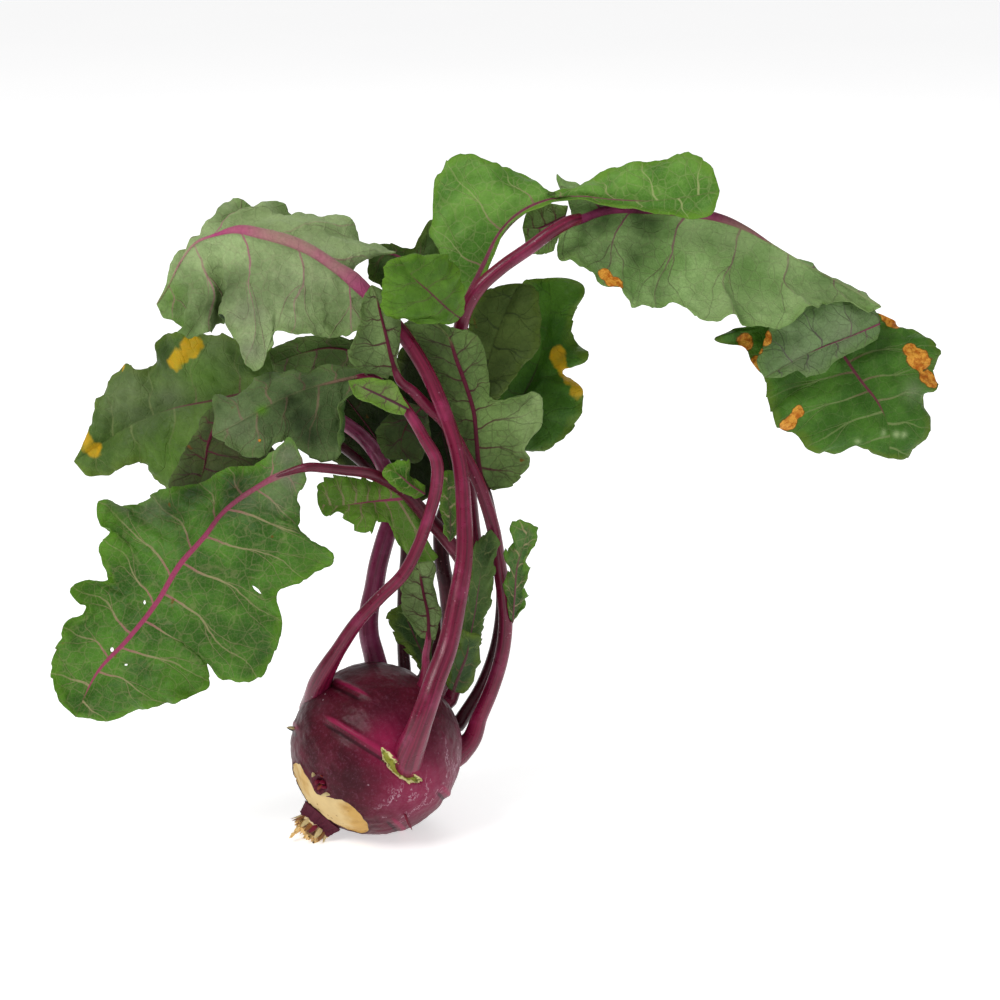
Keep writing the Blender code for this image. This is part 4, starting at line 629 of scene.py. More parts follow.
class Flow:                                        # a number inside a node tree, for plain sums
    def __init__(self, tree, socket):
        self.tree = tree
        self.socket = socket

    def step(self, kind, a, b=0.0, clamp=False):
        node = addNode(self.tree, "ShaderNodeMath", {"operation": kind, "use_clamp": clamp})
        put(self.tree, node.inputs[0], a)
        put(self.tree, node.inputs[1], b)
        return Flow(self.tree, node.outputs[0])

    def __add__(self, other):
        return self.step("ADD", self, other)

    def __sub__(self, other):
        return self.step("SUBTRACT", self, other)

    def __rsub__(self, other):
        return self.step("SUBTRACT", other, self)

    def __mul__(self, other):
        return self.step("MULTIPLY", self, other)

    def __abs__(self):
        return self.step("ABSOLUTE", self)

    def most(self, other):
        return self.step("MAXIMUM", self, other)

    def ramp(self, lo, hi, toLo=0.0, toHi=1.0):    # smooth step between two values
        node = addNode(self.tree, "ShaderNodeMapRange", {"interpolation_type": "SMOOTHSTEP"})
        for spot, value in enumerate((self, lo, hi, toLo, toHi)):
            put(self.tree, node.inputs[spot], value)
        return Flow(self.tree, node.outputs[0])


class Weave:                                       # short calls for one material's nodes
    def __init__(self, name, rough, specular):
        self.mat = bpy.data.materials.new(name)
        self.mat.use_nodes = True
        self.tree = self.mat.node_tree
        self.shader = self.tree.nodes["Principled BSDF"]
        self.set("Roughness", rough)
        self.set("Specular IOR Level", specular)
        self.where = self.tree.nodes.new("ShaderNodeTexCoord").outputs["Object"]

    def set(self, label, value):
        put(self.tree, self.shader.inputs[label], value)

    def mix(self, factor, a, b, kind="MIX"):       # colours can be given as (red, green, blue)
        node = addNode(self.tree, "ShaderNodeMix", {"data_type": "RGBA", "blend_type": kind})
        for spot, value in ((0, factor), (6, a), (7, b)):
            if isinstance(value, tuple) and len(value) == 3:
                value = tone(*value)
            put(self.tree, node.inputs[spot], value)
        return node.outputs[2]

    def noise(self, scale, detail=2.0, rough=0.5, vector=None):
        node = addNode(self.tree, "ShaderNodeTexNoise", Scale=scale, Detail=detail, Roughness=rough,
                       Vector=self.where if vector is None else vector)
        return Flow(self.tree, node.outputs["Fac"])

    def cells(self, scale, feature="DISTANCE_TO_EDGE"):
        node = addNode(self.tree, "ShaderNodeTexVoronoi", {"feature": feature}, Scale=scale,
                       Vector=self.where)
        return Flow(self.tree, node.outputs["Distance"])

    def stretch(self, vector, scale):
        return addNode(self.tree, "ShaderNodeMapping", Vector=vector, Scale=scale).outputs[0]

    def stored(self, name, out="Vector"):
        return addNode(self.tree, "ShaderNodeAttribute", {"attribute_name": name}).outputs[out]

    def numbers(self, name):                       # x, y and z of a stored attribute
        split = addNode(self.tree, "ShaderNodeSeparateXYZ", Vector=self.stored(name))
        return [Flow(self.tree, out) for out in split.outputs]

    def bump(self, height, distance, strength=1.0):
        node = addNode(self.tree, "ShaderNodeBump", Strength=strength, Distance=distance, Height=height)
        self.set("Normal", node.outputs["Normal"])
        return node.outputs["Normal"]


def bladePoints(leaf, side, u, v):                 # points of one half for flat lists u and v
    rib = np.asarray(leaf["rib"], float)
    k, _ = chordKnots(rib)
    r = through(k, rib, u)
    tan = unitVec(through(k, rib, np.clip(u + 0.01, 0, 1)) - through(k, rib, np.clip(u - 0.01, 0, 1)))
    e = np.array(list(leaf[side]) + [(1.0,) + tuple(rib[-1])], float)
    edge = through(e[:, 0], e[:, 1:], u)
    a = edge - r
    size = np.linalg.norm(a, axis=1)
    isRight = side == "right"
    n = unitVec(np.cross((1.0 if isRight else -1.0) * a, tan))
    arch = leaf["bulge"][1 if isRight else 0] * np.minimum(1.0, size / 25.0)
    amp, count, phase = leaf["wave"]
    ph = phase + (0.31 if isRight else 0.0)
    wave = amp * np.sin(2 * math.pi * (count * u + ph)) * np.minimum(1.0, size / 22.0)
    hump = 4 * v * (1 - v)
    return (r + a * v[:, None] + n * (arch * hump + wave * v ** 2)[:, None]
            - tan * (0.05 * size * hump)[:, None]), size


def rowPlaces(leaf):                               # rows: even along the edge, closer at each vein
    u = np.linspace(0, 1, 600)
    one = np.ones(600)
    pace = np.zeros(599)
    for side in ("left", "right"):
        p, _ = bladePoints(leaf, side, u, one)
        pace = np.maximum(pace, np.linalg.norm(np.diff(p, axis=0), axis=1))
    rib, _ = bladePoints(leaf, "left", u, 0 * one)
    step = np.linalg.norm(np.diff(rib, axis=0), axis=1)
    pace = np.maximum(pace * 0.8, step)
    s = np.concatenate([[0.0], np.cumsum(pace)])
    length = step.sum()
    base = np.interp(np.linspace(0, s[-1], int(s[-1] / blade["cell"]) + 8), s, u)
    close = []
    for k in range(leaf["veins"]):
        for shift in (0.5, 1.0):
            at = (k + shift) / leaf["veins"]
            close += [at + d / length for d in (-0.9, -0.45, 0.0, 0.45, 0.9)]
    close = np.array([c for c in close if 0.01 < c < 0.985])
    keep = [b for b in base if np.abs(close - b).min() > 0.35 / length]
    rows = np.unique(np.concatenate([keep, close, [0.0, 1.0]]))
    rows = rows[np.concatenate([[True], np.diff(rows) > 0.1 / length])]
    rows[-1] = 1.0
    return rows


def halfBlade(leaf, side, rows, ribHalf, outer, number):
    n = len(rows)
    veins = leaf["veins"]
    inner = [0.35, 0.7, 1.0, 1.35]                 # columns near the rib, in half breadths of it
    _, size = bladePoints(leaf, side, rows, np.ones(n))
    start = np.minimum(inner[-1] * ribHalf / np.maximum(size, 1e-6), 0.4)
    v = np.column_stack([start * f / inner[-1] for f in inner] + [start + (1 - start) * s for s in outer])
    row = rows[:, None] * veins + (0.0 if side == "left" else 0.5) + 0 * v
    bend = 0.16 / veins * np.sin(2.6 * v * math.pi + 1.7 * row) * v * (1 - v) * 2
    u = np.clip(rows[:, None] + bend * (rows * (1 - rows))[:, None] * 4, 0, 1)
    p, _ = bladePoints(leaf, side, u.ravel(), v.ravel())
    p = p.reshape(n, v.shape[1], 3)
    along = lengthAlong(p[:, -1])
    out = unitVec(p[:, -1] - p[:, -3])
    small = leaf.get("small")
    pitch = blade["toothLength"] * (0.75 if small else 1.0)
    saw = (along / pitch + 0.35 * np.sin(along / 11.0 + number)) % 1.0
    tooth = leaf.get("tooth", blade["tooth"] * (0.6 if small else 1.0)) * (saw ** 0.8 - 0.35)
    tooth = tooth * (0.7 + 0.5 * np.sin(along / 9.0 + 2 * number)) * np.minimum(1.0, size / 8.0)
    scallop = (0.5 if small else 0.9) * np.sin(along / 4.6 + 2.2 * np.sin(along / 13.0 + number))
    tooth = tooth + scallop * np.minimum(1.0, size / 14.0)
    p = p + out[:, None] * (tooth[:, None] * v ** 9)[..., None]
    gap = np.linalg.norm(np.gradient(p, axis=0), axis=2)
    gap = gap / np.maximum(np.gradient(rows)[:, None] * veins, 1e-9)
    dist = np.abs((row % 1.0) - 0.5) * gap
    return {"p": p, "v": v, "row": row, "gap": gap, "dist": dist, "size": size, "along": along}


def rimFaces(grid, keep, count):                   # a wall along every cell edge with a cell on one side only
    n, cols = grid.shape
    solid = np.zeros((n + 1, cols + 1), bool)
    solid[1:n, 1:cols] = keep
    rims = []
    for di, dj in ((1, 0), (0, 1)):
        for i in range(n - di):
            for j in range(cols - dj):
                before = solid[i + di, j + dj]
                if before != solid[i + 1, j + 1]:
                    p0, p1 = grid[i, j], grid[i + di, j + dj]
                    if before == (di == 1):
                        p0, p1 = p1, p0
                    rims.append((p0, p1, p1 + count, p0 + count))
    return rims


def joined(left, right, mid):                      # both halves of a blade, with the rib between them
    return np.concatenate([left[:, ::-1], mid[:, None], right], axis=1)


def cutHoles(leaf, rows, v, side, p, normal, sheets):
    gone = np.zeros((len(rows) - 1, v.shape[1] - 1), bool)
    for at, out, halfLong, halfWide, which in leaf.get("holes", []):
        i = int(np.argmin(np.abs(rows - at)))
        j = int(np.argmin(np.abs(v[i] * side[i] - out * which)))
        gone[i - 1:i + 1, j - 1:j + 1] = True
        mid = p[i, j].copy()
        e1 = unitVec(p[i, j + 1] - p[i, j - 1])
        e2 = unitVec(np.cross(normal[i, j], e1))
        for di in (-1, 0, 1):
            for dj in (-1, 0, 1):
                if di or dj:
                    step = p[i + di, j + dj] - mid
                    turn = math.atan2(step @ e2, step @ e1)
                    spot = mid + e1 * math.cos(turn) * halfLong + e2 * math.sin(turn) * halfWide
                    for sheet, way in zip(sheets, (1, -1)):
                        sheet[i + di, j + dj] = spot + way * normal[i, j] * 0.25
    return gone


def dressLeaf(name, number):
    leaf = leaves[name]
    rows = rowPlaces(leaf)
    n = len(rows)
    widest = max(bladePoints(leaf, side, rows, np.ones(n))[1].max() for side in ("left", "right"))
    ribWidth, fadeFrom, fadeTo = leaf["midrib"]
    ribHalf = 0.5 * ribWidth * (1 - 0.5 * rows) * (1 - 0.8 * smoothStep(fadeFrom, fadeTo, rows))
    ribHalf = np.maximum(ribHalf, 0.22)
    outer = np.linspace(0, 1, int(widest / (blade["cell"] * 1.25)) + 4)[1:]
    outer = 1 - (1 - outer) ** 1.15
    left = halfBlade(leaf, "left", rows, ribHalf, outer, number)
    right = halfBlade(leaf, "right", rows, ribHalf, outer, number + 5)
    m = left["v"].shape[1]
    zero = np.zeros(n)
    rib, _ = bladePoints(leaf, "left", rows, zero)
    p = joined(left["p"], right["p"], rib)
    v = joined(left["v"], right["v"], zero)
    dist = joined(left["dist"], right["dist"], zero + 5)
    gap = joined(left["gap"], right["gap"], right["gap"][:, 0])
    veinRow = joined(left["row"], right["row"], right["row"][:, 0])
    size, along = (joined(np.repeat(left[key][:, None], m, 1), np.repeat(right[key][:, None], m, 1), zero)
                   for key in ("size", "along"))
    side = joined(-np.ones((n, m)), np.ones((n, m)), zero)
    away = v * size
    wide = np.repeat(ribHalf[:, None], p.shape[1], 1)
    normal = unitVec(np.cross(np.gradient(p, axis=1), np.gradient(p, axis=0)))
    for _ in range(2):                             # even out the normals near the rib and the tip
        soft = normal.copy()
        soft[1:-1] += normal[:-2] + normal[2:]
        soft[:, 1:-1] += normal[:, :-2] + normal[:, 2:]
        normal = unitVec(soft)
    # panels bulge to the upper face, the edge ruffles, the whole blade crinkles
    flat = p.reshape(-1, 3)
    panel = 1 - np.exp(-(dist / blade["panel"]) ** 2)
    body = blade["quilt"] * panel * np.minimum(1.0, gap / 12.0) * smoothStep(1.0, 6.0, away)
    body = body * (1 - 0.5 * smoothStep(0.8, 1.0, v))
    fold = np.minimum(1.0, size / 20.0)
    crinkle = blade["crinkle"] * ripple(flat, 9.0, number)
    crinkle = crinkle + blade["fineCrinkle"] * ripple(flat, 4.2, number + 60)
    crinkle = crinkle.reshape(v.shape) * smoothStep(0.5, 5.0, away)
    frill = along / blade["frillLength"] + 1.3 * np.sin(along / 7.0 + number) + 2 * side
    frill = leaf["ruffle"] * np.sin(frill)
    frill = frill * smoothStep(0.5, 1.0, v) * (np.minimum(1.0, size / 9.0) if leaf.get("small") else fold)
    lift = body * leaf["face"] + crinkle * fold + frill
    if "pleats" in leaf:
        deep, times, begin = leaf["pleats"]
        pleat = deep * np.sin(2 * math.pi * times * rows)[:, None]
        pleat = pleat * smoothStep(begin, begin + 0.1, rows)[:, None] * smoothStep(0.1, 0.5, v)
        lift = lift + pleat * (1 - smoothStep(0.9, 1.0, rows))[:, None]
    p = p + normal * lift[..., None]
    # thickness: the rib and side veins stand out on the under face and sink on the upper one
    rounded = np.sqrt(np.clip(1 - (away / np.maximum(wide * 1.05, 1e-6)) ** 2, 0, 1))
    skirt = 0.3 * wide * np.exp(-(away / (wide * 1.6)) ** 2)
    veinWide = 0.75 * (1 - 0.6 * v)
    veinUp = blade["veinRidge"] * (1 - 0.7 * v) * np.exp(-(dist / veinWide) ** 2) * smoothStep(0.2, 1.0, away)
    thin = blade["half"] * (1 - 0.45 * smoothStep(0.85, 1.0, v))
    under = thin + blade["ribRidge"] * wide * rounded + skirt + veinUp * np.minimum(1.0, size / 14.0)
    upper = thin - 0.12 * veinUp + 0.35 * wide * rounded
    frontIsUpper = leaf["face"] > 0
    front = p + normal * (upper if frontIsUpper else under)[..., None]
    back = p - normal * (under if frontIsUpper else upper)[..., None]
    keep = ~cutHoles(leaf, rows, v, side, p, normal, (front, back))
    pts = np.concatenate([front.reshape(-1, 3), back.reshape(-1, 3)])
    count = v.size
    grid = np.arange(count).reshape(v.shape)
    a, b, c, d = (part[keep] for part in (grid[:-1, :-1], grid[:-1, 1:], grid[1:, 1:], grid[1:, :-1]))
    top = np.stack([a, b, c, d], axis=1)
    low = np.stack([a, d, c, b], axis=1) + count
    rims = rimFaces(grid, keep, count)
    obj = meshObject(name + "_blade", pts, top.tolist() + low.tolist() + rims, [leafMaterial(name)])
    marks = {kind: np.zeros(2 * count) for kind in ("dark", "light", "grey", "bright", "brown", "yellow")}
    for kind, spots in leaf.get("marks", {}).items():
        for x, y, z, radius, strength in spots:
            near = np.linalg.norm(pts - np.array([x, y, z]), axis=1) / radius
            fall = np.clip(1.5 - near, 0, 1) if kind in ("brown", "yellow") else np.exp(-near ** 2)
            np.maximum(marks[kind], strength * fall, out=marks[kind])
    fields = {"veinGrid": (veinRow, gap, away * side), "bladeSheet": (v, (1 - v) * size, wide)}
    for label, parts in fields.items():
        addVectors(obj, label, *(np.tile(part.ravel(), 2) for part in parts))
    addVectors(obj, "bladeMarks", marks["brown"], marks["yellow"])
    # painted light less painted shade, the grey tint with its painted sheen, and the brighter green
    addVectors(obj, "bladePaintedLightAndTint", marks["light"] - marks["dark"], marks["grey"], marks["bright"])
    flags = obj.data.attributes.new("upperFace", "FLOAT", "FACE")
    flags.data.foreach_set("value", [float(frontIsUpper)] * len(top) + [float(not frontIsUpper)] * len(low)
                           + [0.5] * len(rims))
    weldTips(obj)
    return obj


def weldTips(obj):                                 # weld points that share a place
    bm = bmesh.new()
    bm.from_mesh(obj.data)
    bmesh.ops.remove_doubles(bm, verts=bm.verts, dist=1e-6)
    bmesh.ops.dissolve_degenerate(bm, edges=bm.edges, dist=1e-7)
    bm.to_mesh(obj.data)
    bm.free()
    obj.data.update()


leafMaterials = {}


def leafMaterial(name):
    leaf = leaves[name]
    look = leaf["look"] + (name.replace("leaf", "") if "own" in leaf else "")
    if look in leafMaterials:
        return leafMaterials[look]
    spec = dict(leafLooks[leaf["look"]], **leaf.get("own", {}))
    w = Weave("leaf_" + look, 0.5, 0.18)
    row, gap, away = w.numbers("veinGrid")
    v, rim, wide = w.numbers("bladeSheet")
    brown, yellow, _ = w.numbers("bladeMarks")
    shade, grey, bright = w.numbers("bladePaintedLightAndTint")
    upper = Flow(w.tree, w.stored("upperFace", "Fac"))
    row = row + (w.noise(75.0, 3.0) - 0.5) * spec["wander"]

    def line(centre, width, soft):                 # a mask round the nearest vein
        apart = abs(centre.step("FRACT", centre) - 0.5) * gap
        return (width * 0.5 - apart).ramp(-soft, soft)

    width = (1.15 - v * 0.75) * spec["veinWidth"]
    half = width * 0.65
    fork = (v - 0.38).most(0.0) * 0.62
    forks = line(row + fork, half, 0.16).most(line(row - fork, half, 0.16)) * v.ramp(0.38, 0.46)
    net = w.cells(190.0).ramp(0.0, 0.07, 1.0, 0.0)
    fine = w.cells(560.0).ramp(0.0, 0.12, 1.0, 0.0)
    distance = abs(away)
    ribMask = (wide - distance).ramp(-0.22, 0.22) * wide.ramp(0.15, 0.4)
    veinMask = line(row, width, 0.18).most(forks * 0.7) * v.ramp(0.1, 1.0, 0.92, 0.5)
    blot = w.noise(48.0, 4.0, 0.6).ramp(0.36, 0.66)
    edgeMask = (rim + w.noise(120.0, 2.0) * 8.0).ramp(4.0, 8.5, 1.0, 0.0)
    nearRib = distance.ramp(2.0, 14.0, 0.6, 0.0) * wide.ramp(0.3, 0.8)

    def face(base, light, vein, rib, fineTone, margin):
        skin = w.mix(blot, spec[base], spec[light])
        skin = w.mix(fine * spec["fine"], skin, spec[fineTone])
        skin = w.mix(net * spec["net"], skin, spec[vein])
        skin = w.mix(edgeMask * margin, skin, spec["margin"])
        skin = w.mix(veinMask, skin, w.mix(nearRib, spec[vein], spec[rib]))
        return w.mix(ribMask, skin, spec[rib])

    colour = w.mix(upper, face("under", "underLight", "underVein", "underRib", "upper", 0.35),
                   face("upper", "upperLight", "vein", "rib", "vein", 0.6))
    # painted shade darkens and painted light pales the blade, grey adds a tint that is partly a painted
    # sheen, bright a brighter green; each patch has a loose edge
    loose = w.noise(85.0, 3.0).ramp(0.3, 0.7, 0.7, 1.25)
    for part, tint in ((shade * -0.9, w.mix(1.0, colour, markTones["dark"], "MULTIPLY")),
                       (shade * 0.55, markTones["light"]), (grey * 0.62, markTones["grey"]),
                       (bright * 0.7, markTones["bright"])):
        colour = w.mix(part.step("MULTIPLY", part, loose, clamp=True), colour, tint)
    speck = w.noise(900.0, 2.0, 0.6).ramp(0.25, 0.75, 0.0, 0.2)
    colour = w.mix(speck, colour, w.mix(1.0, colour, markTones["dust"], "MULTIPLY"))
    rough = (w.noise(260.0, 3.0) - 0.5) * 0.6 + (w.noise(105.0, 2.0) - 0.5) * 1.3
    yellowTone = w.mix(w.noise(300.0), markTones["yellow"], markTones["olive"])
    colour = w.mix((yellow + rough).ramp(0.45, 0.8), colour, yellowTone)
    dry = brown + rough
    colour = w.mix(dry.ramp(0.36, 0.47) * 0.8, colour, markTones["singed"])
    dryTone = w.mix(w.noise(420.0, 3.0, 0.7).ramp(0.35, 0.65), markTones["dry"], markTones["dryPale"])
    colour = w.mix(dry.ramp(0.46, 0.54), colour, dryTone)
    w.set("Base Color", colour)
    w.set("Roughness", (upper + blot * 0.2).ramp(0.0, 1.1, 0.62, 0.45))
    relief = net * 0.5 + (fine * 0.25 + forks)
    height = relief * upper.ramp(0.4, 0.6, 1.0, -0.8) + w.noise(380.0, 3.0) * 0.9
    normal = w.bump(height, 0.0003, 0.85)
    glow = addNode(w.tree, "ShaderNodeBsdfTranslucent", Color=w.mix(0.5, colour, markTones["glow"]),
                   Normal=normal)
    both = w.tree.nodes.new("ShaderNodeMixShader")
    for spot, value in enumerate((spec["through"], w.shader.outputs[0], glow.outputs[0])):
        put(w.tree, both.inputs[spot], value)
    w.tree.links.new(both.outputs[0], w.tree.nodes["Material Output"].inputs["Surface"])
    leafMaterials[look] = w.mat
    return w.mat


for number, name in enumerate(leaves):
    piece = dressLeaf(name, number)
    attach(piece, "root")
    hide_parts(name)


class Grower:                                      # a Geometry Nodes tree with named inputs
    def __init__(self, name, wanted):              # wanted: label, type, value
        self.tree = bpy.data.node_groups.new(name, "GeometryNodeTree")
        face = self.tree.interface
        self.keys = {}
        inputs = [("Geometry", "Geometry", None)] + wanted + [("Material", "Material", None)]
        for label, kind, value in inputs:
            socket = face.new_socket(name=label, in_out="INPUT", socket_type="NodeSocket" + kind)
            if value is not None:
                socket.default_value = value
            self.keys[label] = socket.identifier
        face.new_socket(name="Geometry", in_out="OUTPUT", socket_type="NodeSocketGeometry")
        self.given = self.tree.nodes.new("NodeGroupInput").outputs

    def close(self, shape):                        # make it real, give it the material, hand it out
        real = addNode(self.tree, "GeometryNodeRealizeInstances", Geometry=shape)
        skin = addNode(self.tree, "GeometryNodeSetMaterial", Geometry=real.outputs[0],
                       Material=self.given["Material"])
        self.tree.links.new(skin.outputs[0], self.tree.nodes.new("NodeGroupOutput").inputs[0])

    def grow(self, guide, values, name):           # run the tree on a guide, and keep only what it makes
        mod = guide.modifiers.new("grow", "NODES")
        mod.node_group = self.tree
        for label, value in values.items():
            mod[self.keys[label]] = value
        depsgraph = bpy.context.evaluated_depsgraph_get()
        mesh = bpy.data.meshes.new_from_object(guide.evaluated_get(depsgraph))
        mesh.name = name
        bpy.data.objects.remove(guide, do_unlink=True)
        return newObject(name, mesh)


# joins: a stalk runs on into the rib of a leaf that starts within this. sunk, flare: its foot in the bulb.
stalkLook = {"sides": 36, "flutes": 5.0, "fluteDepth": 0.01, "step": 1.3, "joins": 14.0, "sunk": 4.0,
             "flare": 1.22}
# maroon is the skin; lilac is a paler copy of it, painted light; dark and shade are darker copies, painted
# shade for stalks that lie in shade
stalkTones = {                                     # darker streaks, skin, lighter streaks, specks
    "maroon": ((74, 6, 30), (122, 18, 56), (162, 52, 100), (206, 150, 170)),
    "lilac": ((92, 14, 50), (134, 34, 82), (176, 88, 134), (206, 160, 180)),
    "dark": ((40, 8, 16), (70, 14, 30), (104, 34, 56), (150, 110, 118)),
    "shade": ((56, 6, 22), (94, 14, 40), (136, 42, 74), (184, 130, 150)),
}


def stalkMaterial(look):
    dark, base, light, pale = stalkTones[look]
    w = Weave("stalk_skin_" + look, 0.3, 0.3)
    turn = w.stored("stalkTurn")
    streaks = w.noise(3.0, 4.0, 0.65, w.stretch(turn, (1.0, 1.0, 7.0)))
    lines = w.noise(9.0, 3.0, 0.6, w.stretch(turn, (1.0, 1.0, 4.0)))
    colour = w.mix(streaks.ramp(0.3, 0.66), dark, base)
    colour = w.mix(lines.ramp(0.52, 0.75, 0.0, 0.32), colour, light)
    colour = w.mix(w.noise(70.0, 4.0, 0.65).ramp(0.48, 0.72, 0.0, 0.42), colour, light)
    flecks = w.cells(420.0, "F1").ramp(0.10, 0.16, 1.0, 0.0) * w.noise(60.0).ramp(0.55, 0.66)
    w.set("Base Color", w.mix(flecks * 0.6, colour, pale))
    w.set("Roughness", w.noise(220.0, 3.0).ramp(0.3, 0.7, 0.26, 0.38))
    w.set("Coat Weight", 0.14)
    w.set("Coat Roughness", 0.14)
    w.bump(lines * 0.8 + w.noise(700.0, 2.0), 0.0002, 0.6)
    return w.mat


def stalkTree():                                   # a fluted tube along a line
    tubes = Grower("stalkTree", [("Sides", "Int", stalkLook["sides"]),
                                 ("Flutes", "Float", stalkLook["flutes"]),
                                 ("Flute Depth", "Float", stalkLook["fluteDepth"])])
    tree, given = tubes.tree, tubes.given
    line = addNode(tree, "GeometryNodeMeshToCurve", Mesh=given["Geometry"])
    along = addNode(tree, "GeometryNodeSplineParameter").outputs["Length"]
    marked = addNode(tree, "GeometryNodeStoreNamedAttribute", Geometry=line.outputs[0], Name="stalkAlong",
                     Value=along)
    ring = addNode(tree, "GeometryNodeCurvePrimitiveCircle", Resolution=given["Sides"], Radius=1.0)
    spot = addNode(tree, "GeometryNodeInputPosition").outputs[0]
    x, y, _ = (Flow(tree, out) for out in addNode(tree, "ShaderNodeSeparateXYZ", Vector=spot).outputs)
    turn = y.step("ARCTAN2", y, x) * given["Flutes"]
    flute = turn.step("COSINE", turn) * given["Flute Depth"] + 1.0
    scaled = addNode(tree, "ShaderNodeVectorMath", {"operation": "SCALE"}, Vector=spot, Scale=flute)
    kept = addNode(tree, "GeometryNodeStoreNamedAttribute", {"data_type": "FLOAT_VECTOR"},
                   Geometry=ring.outputs["Curve"], Name="stalkRound", Value=spot)
    moved = addNode(tree, "GeometryNodeSetPosition", Geometry=kept.outputs[0], Position=scaled.outputs[0])
    thick = addNode(tree, "GeometryNodeInputNamedAttribute", Name="stalkThick")
    tube = addNode(tree, "GeometryNodeCurveToMesh", Curve=marked.outputs[0], Profile_Curve=moved.outputs[0],
                   Scale=thick.outputs["Attribute"], Fill_Caps=True)
    tubes.close(addNode(tree, "GeometryNodeSetShadeSmooth", Geometry=tube.outputs[0]).outputs[0])
    return tubes


def skinAngles(d):                                 # degrees from the growing point, and round the bulb
    th = np.degrees(np.arccos(np.clip(d @ growth, -1.0, 1.0)))
    return th, np.degrees(np.arctan2(d @ across, d @ facing))


def scarPlaces(th, ph):                            # for each leaf scar: height, fade, degrees past its line
    for atTh, atPh, reach, tilt, height in bulbShape["scars"]:
        away = (ph - atPh + 180.0) % 360.0 - 180.0
        fade = np.clip((reach - np.abs(away)) / 14.0, 0.0, 1.0)
        yield height, fade, th - (atTh + tilt * away / 60.0)


def bulbRadius(d, fine=False):                     # mm from the middle to the skin, for unit directions
    th, ph = skinAngles(d)
    r = bulbShape["radius"] + 0.45 * np.sin(np.radians(3 * ph + 40)) * np.sin(np.radians(th)) ** 2
    r = r - 1.8 * np.exp(-(th / 20.0) ** 2)
    r = r + 1.2 * np.exp(-((180.0 - th) / 17.0) ** 2)
    low = np.degrees(np.arccos(np.clip(d @ bulbShape["rest"], -1.0, 1.0)))
    r = r + bulbShape["restSwell"] * np.exp(-(low / 14.0) ** 2)
    spread, groove, grooveSpread = (2.6, 0.6, 2.6) if fine else (4.2, 0.35, 4.5)
    for height, fade, past in scarPlaces(th, ph):
        r = r + height * fade * np.exp(-(past / spread) ** 2)
        r = r - groove * height * fade * np.exp(-((past - 5.5) / grooveSpread) ** 2)
    return r


stalkMats = {look: stalkMaterial(look) for look in stalkTones}
tubes = stalkTree()
for name, stalk in stalks.items():
    path = np.asarray(stalk["path"], float)
    radii = list(stalk["thick"])
    apart, key = min((np.linalg.norm(np.asarray(leaf["rib"][0]) - path[-1]), key)
                     for key, leaf in leaves.items())
    if apart < stalkLook["joins"]:
        rib = np.asarray(leaves[key]["rib"], float)
        ribKnots, ribLength = chordKnots(rib)
        ribWidth = leaves[key]["midrib"][0]
        path = np.vstack([path, through(ribKnots, rib, np.array([2.5, 7.0, 13.0]) / ribLength)])
        radii += [0.5 * radii[-1] + 0.25 * ribWidth, 0.46 * ribWidth, 0.3 * ribWidth]
    k, length = chordKnots(path)
    at = np.linspace(0, 1, int(length / stalkLook["step"]) + 2)
    line = through(k, path, at)
    thick = np.interp(at, k, radii)
    thick[1:-1] = (thick[:-2] + 2 * thick[1:-1] + thick[2:]) / 4
    if stalk.get("flared", True):                  # start inside the bulb, with a flared foot
        start = line[0] - unitVec(line[0] - bulbShape["middle"]) * stalkLook["sunk"]
        lead = np.linspace(0, 1, 5)[:-1, None]
        line = np.concatenate([start + (line[0] - start) * lead, line])
        thick = np.concatenate([thick[0] * np.linspace(stalkLook["flare"], 1.04, 4), thick])
    ends = np.linalg.norm(line - line[-1], axis=1)
    thick = thick * (0.4 + 0.6 * smoothStep(-1.0, 2.5, ends))
    mesh = bpy.data.meshes.new(name + "_line")
    mesh.from_pydata((line * mm).tolist(), [(i, i + 1) for i in range(len(line) - 1)], [])
    layer = mesh.attributes.new("stalkThick", "FLOAT", "POINT")
    layer.data.foreach_set("value", thick * mm)
    skin = stalkMats[stalk.get("look", "maroon")]
    piece = tubes.grow(newObject(name + "_line", mesh), {"Material": skin}, name + "_skin")
    total = len(piece.data.vertices)
    around = np.zeros(total * 3, np.float32)
    along = np.zeros(total, np.float32)
    piece.data.attributes["stalkRound"].data.foreach_get("vector", around)
    piece.data.attributes["stalkAlong"].data.foreach_get("value", along)
    addVectors(piece, "stalkTurn", around[0::3], around[1::3], along)
    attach(piece, "root")
    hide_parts(name)
print("stalks:", len(stalks))

# groove is painted shade in the furrow past each leaf scar, hole painted shade in the hollow round the bud
bulbLook = {"dark": (52, 6, 18), "skin": (86, 12, 34), "wine": (150, 27, 74), "bloom": (136, 76, 98),
            "lilac": (150, 92, 120), "scratch": (196, 160, 176), "groove": (22, 4, 9), "hole": (40, 6, 14),
            "cork": (202, 162, 92), "corkDark": (152, 106, 50), "corkPale": (222, 198, 146),
            "corkDot": (132, 82, 40), "corkEdge": (52, 10, 24), "crack": (146, 148, 56),
            "crackPale": (220, 214, 150), "crackDark": (70, 76, 20), "fleck": (190, 160, 170)}
# where the peeled cork starts and ends: degrees round the bulb, then degrees from the growing point
corkTop = np.array([(-97, 149), (-76, 139), (-53, 134), (-40, 139), (-22, 146.5), (-9, 141.5),
                    (4, 134), (18, 132.5), (30, 135), (46, 138.5), (62, 144), (78, 151)])
corkEnd = np.array([(-97, 150), (-82, 157), (-60, 164), (-20, 166), (34, 165), (60, 158), (78, 151)])
splitAt = {"theta": 92.3, "phi": 19.5, "half": 18.0, "deep": 3.4}
budAt = {"theta": 136.5, "phi": -22.0, "size": 5.6}


